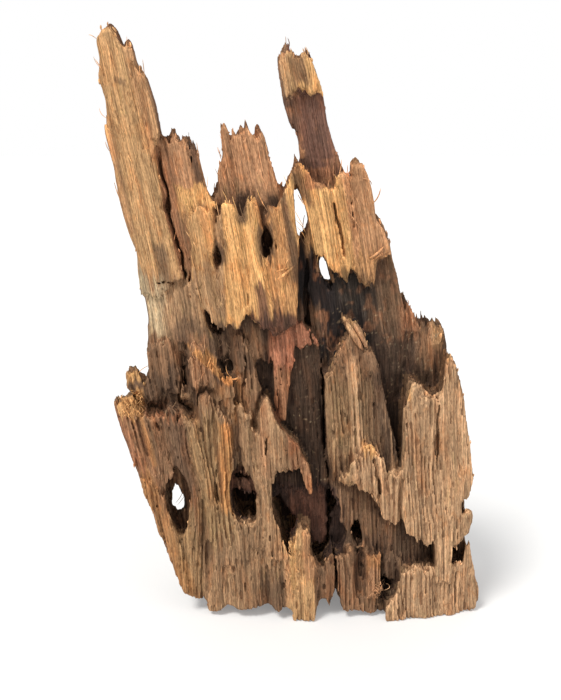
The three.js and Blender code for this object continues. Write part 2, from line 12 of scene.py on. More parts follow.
import bpy
import numpy as np
import openvdb as vdb
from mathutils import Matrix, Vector


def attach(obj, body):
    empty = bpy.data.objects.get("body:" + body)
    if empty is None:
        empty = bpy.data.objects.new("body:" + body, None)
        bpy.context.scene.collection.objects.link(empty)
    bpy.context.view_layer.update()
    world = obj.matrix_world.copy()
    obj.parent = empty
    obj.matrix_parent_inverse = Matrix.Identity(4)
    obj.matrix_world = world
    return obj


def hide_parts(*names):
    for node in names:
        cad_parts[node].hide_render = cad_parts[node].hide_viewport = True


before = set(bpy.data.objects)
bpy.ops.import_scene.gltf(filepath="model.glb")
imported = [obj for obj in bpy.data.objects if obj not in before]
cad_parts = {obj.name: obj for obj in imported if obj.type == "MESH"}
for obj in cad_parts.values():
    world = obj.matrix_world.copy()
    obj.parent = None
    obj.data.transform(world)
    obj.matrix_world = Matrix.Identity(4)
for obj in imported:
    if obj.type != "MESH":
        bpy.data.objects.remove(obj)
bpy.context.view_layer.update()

BASE_MIDDLE = (0.288, 24.844)  # the row's origin in outline coordinates
VOXEL = 0.5
MARGIN = 4.0  # how far the distance field reaches from the surface
WEAR_REACH = 2.6  # how near to the surface the field is worn
NO_WOOD = 99.0  # the depth given where there is no wood

# the trunk's curve: where it bulges most, its radius, and how far it leans back with height
CROWN_X = 5.0
BULGE_RADIUS = 200.0
RECLINE = 0.02

# how far the grain leans left with height: everywhere, more so high up, and more so in the left wing
LEAN = 0.045
UPPER_LEAN = 0.15
WING_LEAN = 0.15

# how far round a point its neighbours count, for empty columns, sides, hollows, steps and rims
EMPTY_REACH = 1.5
SIDE_REACH = 6.0
HOLLOW_REACH = 5.0
STEP_REACH = 1.8
RIM_REACH = 1.4

# torn edges with fibres: the least jump in depth, the lowest height, and how far along a fibre is rooted
EDGE_JUMP = 1.6
LOWEST_EDGE = 12
ROOT = 1.2

FLOOR_SIZE = 6.0  # metres from the middle to each side
CAMERA_PLACE = (-6.5, -311.5, 183.0)  # in outline coordinates
CAMERA_TILT = 13.7  # degrees down from level
CAMERA_LENS = 46.54  # millimetres on a sensor 36 mm wide


def ramp(value, low, high):
    """0 at low, 1 at high, smooth between."""
    t = np.clip((value - low) / (high - low), 0, 1)
    return t * t * (3 - 2 * t)


def softplus(value, width):
    """value where it is positive and 0 where it is negative, with a rounded corner."""
    return width * np.logaddexp(0, value / width)


def hashed(ix, iy, iz, seed):
    """A repeatable value from -1 to 1 for each whole-numbered point."""
    bits = ix.astype(np.uint32) * np.uint32(0x9E3779B1)
    bits ^= iy.astype(np.uint32) * np.uint32(0x85EBCA77)
    bits ^= iz.astype(np.uint32) * np.uint32(0xC2B2AE3D)
    bits ^= np.uint32(seed * 2654435761 % 4294967296)
    bits ^= bits >> np.uint32(15)
    bits *= np.uint32(0x2C1B3C6D)
    bits ^= bits >> np.uint32(12)
    bits *= np.uint32(0x297A2D39)
    bits ^= bits >> np.uint32(15)
    return bits.astype(np.float32) * np.float32(2 / 4294967295) - np.float32(1)


def noise(x, y, z, seed):
    """Smooth noise from -1 to 1 with one wave for about every two units."""
    x, y, z = (np.asarray(v, np.float32) for v in (x, y, z))
    fx, fy, fz = np.floor(x), np.floor(y), np.floor(z)
    ix, iy, iz = (v.astype(np.int32) for v in (fx, fy, fz))
    tx, ty, tz = x - fx, y - fy, z - fz
    tx, ty, tz = (t * t * (3 - 2 * t) for t in (tx, ty, tz))
    total = 0
    for dx in (0, 1):
        for dy in (0, 1):
            weight = (tx if dx else 1 - tx) * (ty if dy else 1 - ty)
            near = hashed(ix + dx, iy + dy, iz, seed)
            far = hashed(ix + dx, iy + dy, iz + 1, seed)
            total = total + weight * (near + (far - near) * tz)
    return total


def bulge(x):
    """How far the trunk's curve falls back at x."""
    return (x - CROWN_X) ** 2 / (2 * BULGE_RADIUS)


# Each knot that the grain runs round: its place in (x, z), its reach across and along, and its push.
KNOTS = [
    (-45, 46, 8, 17, 0.75),
    (-19, 48, 6, 11, 0.5),
    (-27.6, 139.7, 2.6, 5, 0.7),
    (-11.3, 144, 3.2, 7, 0.75),
    (-19.5, 157.5, 2.4, 5, 0.6),
    (-8.8, 160, 2.4, 5, 0.6),
    (20, 29, 3, 6, 0.6),
    (1, 203, 3, 7, 0.6),
    (-48.4, 137, 2.4, 5, 0.5),
    (46, 84, 5, 9, 0.4),
    (29, 104, 5, 9, 0.5),
]


def grain_across(x, z):
    """A coordinate that stays the same along each fibre as it leans and runs round the knots."""
    upper = UPPER_LEAN * softplus(z - 112, 14)
    wing = WING_LEAN * ramp(-x, 38, 56) * (z - 90) * ramp(-z, -112, -80)
    u = x + LEAN * z + upper + wing
    for knot_x, knot_z, across, along, push in KNOTS:
        near = np.exp(-(((x - knot_x) / across) ** 2) - ((z - knot_z) / along) ** 2)
        u = u - push * (x - knot_x) * near
    return u


def grain_lean(x, z):
    """How far a fibre moves in x for each millimetre of height, knots aside."""
    wing = WING_LEAN * ramp(-x, 38, 56) * ramp(-z, -112, -80)
    return -(LEAN + UPPER_LEAN * ramp(z, 90, 134) + wing)


# ---- the distance field

def distance_field():
    """The CAD solid as an array of signed distances, the coordinates of its axes, and its lowest cell."""
    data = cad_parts["driftwood"].data
    points = np.zeros(len(data.vertices) * 3, np.float32)
    data.vertices.foreach_get("co", points)
    points = points.reshape(-1, 3) * 1000 + np.array([*BASE_MIDDLE, 0], np.float32)
    data.calc_loop_triangles()
    corners = np.zeros(len(data.loop_triangles) * 3, np.int32)
    data.loop_triangles.foreach_get("vertices", corners)
    grid = vdb.FloatGrid.createLevelSetFromPolygons(
        points,
        triangles=corners.reshape(-1, 3).astype(np.uint32),
        transform=vdb.createLinearTransform(voxelSize=VOXEL),
        halfWidth=MARGIN / VOXEL,
    )
    low, high = grid.evalActiveVoxelBoundingBox()
    low = [n - 2 for n in low]
    high = [n + 2 for n in high]
    field = np.zeros([h - n + 1 for n, h in zip(low, high)], np.float32)
    grid.copyToArray(field, ijk=low)
    axes = [(np.arange(n, h + 1) * VOXEL).astype(np.float32) for n, h in zip(low, high)]
    return field, axes, low


def blur(field, radius, axis):
    """A triangular blur along one axis, radius in millimetres."""
    steps = max(1, round(radius / VOXEL))
    weights = [steps + 1 - abs(i) for i in range(-steps, steps + 1)]
    total = np.zeros_like(field)
    for i, weight in zip(range(-steps, steps + 1), weights):
        total += weight / sum(weights) * np.roll(field, i, axis)
    return total


# Where edges are torn more: the middle in (x, z), the reach each way, and how much more.
TEARS = [
    (41, 117, 10, 9, 2.2),
    (50, 110, 6, 6, 1.4),
    (14, 106, 8, 5, 0.4),
    (38, 95, 5, 7, 0.6),
    (46, 88, 8, 5, 0.6),
    (-30, 99, 10, 8, 1.2),
    (-20, 112, 24, 6, 0.2),
    (-28, 84, 7, 6, 0.7),
    (-60, 84, 8, 6, 0.9),
    (24, 64, 12, 8, 0.8),
    (24, 128, 12, 8, 0.9),
    (2, 215, 9, 8, 0.5),
    (-18, 184, 12, 8, 0.6),
    (-40, 182, 9, 7, 0.7),
    (-69, 217, 6, 9, -0.75),
    (2, 30, 6, 9, 0.6),
    (40, 22, 12, 5, 0.5),
]


def bent_along_grain(field, axes):
    """Each fibre slides along the grain by its own amount, so that edges across it come out torn."""
    xs, ys, zs = axes
    stride = 8
    coarse = zs[::stride]
    x, y, z = np.meshgrid(xs, ys, coarse, indexing="ij")
    u = grain_across(x, z)
    strands = 1.7 * noise(u / 1.4, y / 1.8, z / 45, 11)
    threads = 1.7 * noise(u / 0.7, y / 0.9, z / 30, 12)
    lumps = 0.8 * noise(u / 5, y / 5, z / 20, 13)
    fresh = ramp(z, 100, 135)
    torn = 0.7 + 0.35 * fresh
    for tear_x, tear_z, across, along, more in TEARS:
        torn = torn + more * np.exp(-(((x - tear_x) / across) ** 2) - ((z - tear_z) / along) ** 2)
    slide = (strands + threads) * torn + lumps
    slide = slide * ramp(z, 4, 14)
    lean = grain_lean(x, z)
    out = np.empty_like(field)
    width = len(xs)
    position = np.arange(len(zs)) / stride
    before = np.minimum(position.astype(int), len(coarse) - 2)
    part = (position - before).astype(np.float32)
    rows = np.arange(width, dtype=np.float32)[:, None]
    for j in range(len(ys)):
        shift = slide[:, j][:, before] * (1 - part) + slide[:, j][:, before + 1] * part
        sideways = shift * (lean[:, j][:, before] * (1 - part) + lean[:, j][:, before + 1] * part)
        layer = field[:, j]
        from_x = np.clip(rows + sideways / VOXEL, 0, width - 1.001)
        from_z = np.clip(np.arange(len(zs)) + shift / VOXEL, 0, len(zs) - 1.001)
        ix, iz = from_x.astype(int), from_z.astype(int)
        tx, tz = from_x - ix, from_z - iz
        out[:, j] = (
            layer[ix, iz] * (1 - tx) * (1 - tz)
            + layer[ix + 1, iz] * tx * (1 - tz)
            + layer[ix, iz + 1] * (1 - tx) * tz
            + layer[ix + 1, iz + 1] * tx * tz
        )
    return out


def wear(x, y, z):
    """How far the surface is worn back at each point, and how much of that is groove or pit."""
    u = grain_across(x, z)
    level = y - bulge(x) - RECLINE * z
    ribbed = 0.3 + 0.7 * ramp(-z, -118, -98)
    flutes = noise(u / 5.5, y / 5.5, z / 38, 21)
    swells = noise(u / 13, y / 13, z / 30, 22)
    drift = noise(u / 5, y / 5, z / 32, 23)
    gate = ramp(noise(u / 3.5, y / 3.5, z / 14, 24), -0.55, 0.25)
    ribs = (0.5 + 0.5 * np.sin(2 * math.pi * (u + 0.85 * y) / 1.9 + 3.4 * drift)) ** 2
    threads = noise(u / 0.8, y / 0.8, z / 12, 25)
    pits = ramp(noise(u / 0.65, y / 0.65, z / 3.4, 26), 0.25, 0.7)
    lumps = noise(x / 2.2, y / 2.2, z / 2.6, 27)
    deep = ramp(level, 8.5, 12) * ramp(-level, -20, -16) * ramp(-z, -112, -104)
    groove = ribbed * gate * ribs + 0.8 * ribbed * pits + 0.25 * threads
    along = 0.85 * flutes + 0.85 * groove
    worn_back = (1 - 0.75 * deep) * along + 0.35 * swells + 0.4 * deep * lumps
    return worn_back, (groove + 0.45 * flutes) * (1 - 0.6 * deep)


def worn(field, axes):
    """Erodes the surface along the grain: flutes, ribs, grooves and pits."""
    i, j, k = np.nonzero(np.abs(field) < WEAR_REACH)
    field[i, j, k] += wear(axes[0][i], axes[1][j], axes[2][k])[0]
    return field


def front_of(field, axes):
    """For each (x, z), the depth where the wood starts."""
    solid = field < 0
    first = solid.argmax(axis=1)
    return np.where(solid.any(axis=1), axes[1][first], NO_WOOD)


def distance_to_path(x, z, path):
    """The distance in (x, z) to a run of straight stretches, and how far along it the nearest point is."""
    nearest = np.full(x.shape, 1e9)
    along = np.zeros(x.shape)
    travelled = 0.0
    for (ax, az), (bx, bz) in zip(path, path[1:]):
        length = math.hypot(bx - ax, bz - az)
        t = np.clip(((x - ax) * (bx - ax) + (z - az) * (bz - az)) / length**2, 0, 1)
        gap = np.hypot(x - ax - t * (bx - ax), z - az - t * (bz - az))
        closer = gap < nearest
        nearest = np.where(closer, gap, nearest)
        along = np.where(closer, travelled + t * length, along)
        travelled += length
    return nearest, along / travelled


# Each crack: its path in (x, z), its width and its depth.
CRACKS = [
    ([(8.4, 101), (9.2, 92), (9.4, 80), (10.3, 68), (11.4, 58), (12.2, 49)], 0.9, 9),
    ([(12.6, 44), (13.4, 34), (14.2, 24), (14.7, 12), (15, 5)], 1.0, 9),
    ([(3.2, 138), (2.6, 128), (3.6, 116), (5.4, 107)], 1.4, 4),
    ([(-49.4, 177), (-47.4, 162), (-45, 150), (-42.4, 139), (-40.6, 129)], 1.6, 6),
    ([(-38.4, 181), (-38.2, 176), (-37.4, 170)], 1.3, 12),
    ([(-37.4, 127.4), (-35, 127.8), (-33.6, 130), (-31.4, 131), (-30, 134)], 0.9, 2),
    ([(-53.6, 130), (-51, 128.8), (-48.4, 129.8), (-45.2, 129)], 0.9, 2.5),
    ([(12.2, 158), (13.3, 152), (15.3, 145.4), (16.5, 139.4)], 0.1, 1.6),
    ([(17.9, 166), (19.2, 154.4), (20.6, 143.2)], 0.7, 3),
    ([(-39.4, 138), (-38.8, 128), (-37.6, 118)], 1.0, 3),
    ([(-44, 78), (-43.6, 88), (-42.8, 97)], 1.0, 3.5),
    ([(-31.2, 54), (-30.2, 47)], 1.1, 3),
    ([(-20, 90), (-19.2, 102), (-20.2, 110)], 0.8, 2),
    ([(-12, 60), (-11.4, 72), (-10.4, 82)], 0.8, 1.6),
    ([(52, 60), (51.6, 76), (50.6, 88)], 0.8, 1.6),
    ([(30, 44), (29.4, 56), (28, 66)], 0.8, 1.6),
    ([(38, 42), (37.6, 58)], 0.9, 2.4),
    ([(-29, 155), (-29.6, 140), (-28.4, 122)], 0.8, 2),
    ([(-20.6, 152), (-19, 138), (-17.6, 122)], 0.7, 1.6),
]

# Each fold: a wide soft furrow down a plate, given in the same way.
FOLDS = [
    ([(-42.4, 78), (-40, 66), (-37, 52), (-35.4, 40), (-35.6, 20), (-35.4, 4)], 3.4, 2.6),
    ([(-24.6, 88), (-23.4, 78), (-22.4, 68), (-21.8, 58)], 2.8, 2.6),
    ([(-31.6, 78), (-31, 66), (-30.4, 52)], 2.4, 0.9),
    ([(23, 28), (24, 20), (24.4, 8)], 3.4, 3.2),
    ([(-56, 84), (-53, 76), (-50, 66)], 2.8, 2.2),
    ([(-42.6, 104), (-42, 96), (-41.4, 88)], 2.2, 1.8),
    ([(31, 74), (32.6, 62), (33.6, 52)], 1.8, 1.0),
    ([(1, 30), (1.6, 16)], 2.0, 1.0),
    ([(-26.6, 22), (-26.2, 10), (-26, 2)], 4.4, 1.8),
    ([(-15.6, 30), (-13.6, 18), (-12.2, 2)], 5.4, 2.4),
    ([(-6.4, 26), (-5.4, 12), (-4.6, 2)], 4.0, 2.4),
    ([(-52, 78), (-49, 66), (-46.4, 58)], 3.4, 1.6),
    ([(-60, 78), (-56.6, 66), (-54.4, 56)], 3.0, 1.2),
    ([(-49.4, 180), (-47.4, 162), (-45, 150), (-42.4, 139), (-40.4, 128)], 4.0, 1.8),
    ([(-56.6, 206), (-55, 190), (-53, 176)], 3.4, 0.9),
    ([(-62, 190), (-60, 170), (-56, 146)], 3.6, 0.9),
    ([(-24, 182), (-22.6, 170), (-21.6, 160)], 2.6, 0.9),
    ([(-15.6, 182), (-14.4, 170), (-13.6, 160)], 2.6, 0.8),
    ([(-28.5, 157), (-28.3, 144), (-29.5, 135.5), (-27.8, 121)], 2.6, 1.8),
    ([(-21, 153), (-19.4, 138), (-18, 121)], 2.2, 1.0),
    ([(-13.2, 157), (-12.2, 147.4), (-11.3, 138.5), (-9.8, 128.7), (-7.2, 115)], 2.4, 1.8),
    ([(-7.4, 156), (-6.4, 140), (-5.4, 122)], 2.8, 1.2),
    ([(12, 164), (13, 154), (15.6, 136)], 2.6, 1.0),
    ([(-17.6, 80), (-16, 70), (-14.6, 58)], 2.2, 1.3),
    ([(18.4, 168), (19.4, 154), (21, 136)], 2.6, 1.6),
    ([(24.6, 98), (25.6, 82), (27, 70)], 3.6, 1.4),
    ([(16, 100), (16.6, 84), (17, 66)], 3.0, 0.9),
    ([(46.6, 86), (48, 66), (49, 40)], 3.6, 1.0),
    ([(57, 96), (58.6, 80), (60, 56)], 3.4, 1.2),
    ([(40.6, 18), (41, 8), (41, 1)], 3.0, 1.0),
    ([(52, 18), (52.4, 8), (52.4, 1)], 3.0, 1.0),
    ([(61, 18), (61.6, 8), (62, 1)], 3.0, 1.0),
    ([(42, 110), (40, 96), (38.6, 84)], 4.4, 1.6),
    # the wood behind the top edges of the plates, sunk where its level is past the last number
    (
        [(-66, 83.4), (-61.4, 82.6), (-59.6, 80.6), (-56, 79), (-51, 79.4), (-47.1, 84.1), (-43, 80)],
        6.5, 2.6, 0.6,
    ),
    ([(-43, 80), (-40.6, 79), (-38.4, 80.5), (-37, 87.3), (-35.5, 89.2), (-33.8, 89.2)], 4.0, 2.0, 0.1),
    ([(-33.8, 89.2), (-31.8, 87.3), (-30.6, 84), (-28.8, 84.6), (-26.6, 80)], 3.2, 2.0, 0.1),
    ([(-20, 79), (-15.6, 77), (-12.4, 88), (-8, 78), (-2, 71), (2, 65)], 2.6, 1.4, 1.4),
]

# The same for the back.
BACK_CRACKS = [
    ([(-21, 112), (-18.6, 92), (-17, 66), (-16.4, 40), (-17, 22)], 1.4, 7),
    ([(6, 98), (7, 74), (8, 46), (8.4, 6)], 1.2, 8),
    ([(-38, 70), (-36.4, 46), (-35.6, 16)], 1.0, 4),
    ([(27, 100), (28.4, 76), (29.6, 44)], 1.2, 5),
    ([(46, 76), (47.4, 50), (48, 22)], 1.0, 4),
    ([(-6, 60), (-5, 42), (-5.4, 26)], 0.9, 3),
    ([(18, 60), (18.8, 36), (18.4, 18)], 0.9, 3),
    ([(-58, 196), (-55, 178), (-50, 154)], 1.0, 4),
    ([(-20, 180), (-18, 162), (-16, 140)], 1.0, 4),
    ([(17, 150), (20, 136), (22, 122)], 1.2, 4),
    ([(-28, 0), (-27.4, 5)], 5.0, 7),
    ([(-10, 0), (-9.6, 4)], 3.6, 6),
    ([(24, 0), (24.4, 6)], 4.4, 7),
    ([(44, 0), (44.2, 4)], 5.0, 5),
]

BACK_FOLDS = [
    ([(-47, 96), (-43, 70), (-39, 40), (-37, 4)], 4.6, 3.0),
    ([(-30, 110), (-28, 80), (-27, 50), (-27.4, 2)], 4.0, 2.6),
    ([(-12, 104), (-10.4, 76), (-10.6, 40)], 5.0, 3.2),
    ([(-3, 70), (-2, 40), (-2.4, 2)], 3.6, 2.2),
    ([(15, 100), (17, 70), (18, 34)], 5.0, 3.4),
    ([(36, 104), (38.6, 74), (40, 36), (40, 2)], 4.6, 3.0),
    ([(24, 60), (25, 30), (24.6, 2)], 3.4, 2.0),
    ([(54, 80), (55.6, 50), (56, 18)], 4.0, 2.6),
    ([(-62, 200), (-58, 176), (-52, 146)], 3.4, 1.6),
    ([(-53, 180), (-50, 160), (-46, 138)], 3.0, 1.6),
    ([(-22, 178), (-20, 160), (-18, 136)], 3.6, 2.2),
    ([(-12, 176), (-10.4, 158), (-9, 138)], 3.0, 1.6),
    ([(12, 158), (15, 142), (18, 124)], 3.4, 1.8),
    ([(24, 152), (27, 136), (30, 120)], 3.4, 1.8),
]


def cracked(field, axes, folds, cracks):
    """Folds and cracks sunk into whatever faces the low end of the second axis."""
    xs, ys, zs = axes
    x, z = np.meshgrid(xs, zs, indexing="ij")
    meander = 0.8 * noise(x / 8, 0 * x, z / 7, 41) + 0.35 * noise(x / 3, 0 * x, z / 2.4, 42)
    for path, width, depth, *deeper_than in folds:
        front = front_of(field, axes)
        if deeper_than:
            level = front - bulge(x) - RECLINE * z
            gap, _ = distance_to_path(x, z, path)
            furrow = depth * ramp(-gap, -width, -0.2 * width)
            furrow = furrow * ramp(level, deeper_than[0], deeper_than[0] + 0.3)
        else:
            gap, along = distance_to_path(x + meander, z, path)
            furrow = depth * np.clip(4 * along * (1 - along), 0, 1) ** 0.4 * ramp(-gap, -width, 0)
        i, k = np.nonzero((furrow > 0.02) & (front < NO_WOOD))
        behind = ys[None, :] - front[i, k][:, None]
        fade = ramp(-behind, -depth - 5, -depth - 1)
        field[i, :, k] += furrow[i, k][:, None] * fade
    front = front_of(field, axes)
    for path, width, depth in cracks:
        gap, along = distance_to_path(x + meander, z, path)
        taper = np.sqrt(np.clip(4 * along * (1 - along), 0, 1))
        pinched = 0.75 + 0.5 * noise(x / 4, 0 * x, z / 4, 43)
        inside = gap - width / 2 * (0.35 + 0.65 * taper) * pinched
        i, k = np.nonzero((inside < 1.5) & (front < NO_WOOD))
        bottom = front[i, k] + depth * (0.4 + 0.6 * taper[i, k])
        opening = np.maximum(inside[i, k][:, None], ys[None, :] - bottom[:, None])
        field[i, :, k] = np.maximum(field[i, :, k], -opening)
    return field


def largest_shell(points, quads):
    """Keeps the biggest connected surface, so that no crumb floats beside the wood."""
    label = np.arange(len(points))
    pairs = np.concatenate([quads[:, [0, 1]], quads[:, [1, 2]], quads[:, [2, 3]], quads[:, [3, 0]]])
    while True:
        lowest = np.minimum(label[pairs[:, 0]], label[pairs[:, 1]])
        updated = label.copy()
        np.minimum.at(updated, pairs[:, 0], lowest)
        np.minimum.at(updated, pairs[:, 1], lowest)
        updated = np.minimum(updated, updated[updated])
        if (updated == label).all():
            break
        label = updated
    names, sizes = np.unique(label, return_counts=True)
    keep = label == names[sizes.argmax()]
    renumber = np.cumsum(keep) - 1
    return points[keep], renumber[quads[keep[quads[:, 0]]]]


def carve():
    """The worn surface's points and quads, with the front and the axes of the field it came from."""
    field, axes, low = distance_field()
    # soften the solid's flat facets
    for axis, radius in ((0, 0.5), (1, 0.5), (2, 0.8)):
        field = blur(field, radius, axis)
    field = bent_along_grain(field, axes)
    field = cracked(field, axes, FOLDS, CRACKS)
    xs, ys, zs = axes
    field = cracked(field[:, ::-1], (xs, -ys[::-1], zs), BACK_FOLDS, BACK_CRACKS)[:, ::-1]
    field = worn(field, axes)
    field = np.maximum(field, -zs[None, None, :])
    front = front_of(field, axes)
    grid = vdb.FloatGrid(MARGIN)
    grid.transform = vdb.createLinearTransform(voxelSize=VOXEL)
    grid.copyFromArray(np.ascontiguousarray(field, np.float32), ijk=low)
    points, _, quads = grid.convertToPolygons(isovalue=0.0, adaptivity=0.0)
    points, quads = largest_shell(points, quads.astype(np.int64))
    return points, quads, front, axes


# ---- tones

def srgb(*channels):
    """The linear colour for 8-bit values as seen on screen."""
    shares = [c / 255 for c in channels]
    return np.array([c / 12.92 if c < 0.0404 else ((c + 0.055) / 1.055) ** 2.4 for c in shares])


TONES = {
    "gold": (203, 155, 101),
    "deep gold": (182, 132, 86),
    "tan": (178, 139, 97),
    "brown": (168, 124, 90),
    "red brown": (152, 106, 76),
    "grey brown": (146, 114, 84),
    "pale brown": (174, 138, 104),
    "olive": (156, 125, 88),
    "lichen": (176, 154, 122),
    "earth": (130, 98, 72),
    "umber": (98, 75, 57),
    "dark umber": (76, 58, 45),
    "waist": (104, 74, 61),
    "soot_and_shade": (36, 30, 29),
    "ash": (62, 54, 47),
    "rust": (160, 106, 80),
    "orange": (162, 118, 76),
    "bright orange": (184, 132, 82),
    "ember": (94, 62, 48),
    "rot": (66, 48, 40),
}

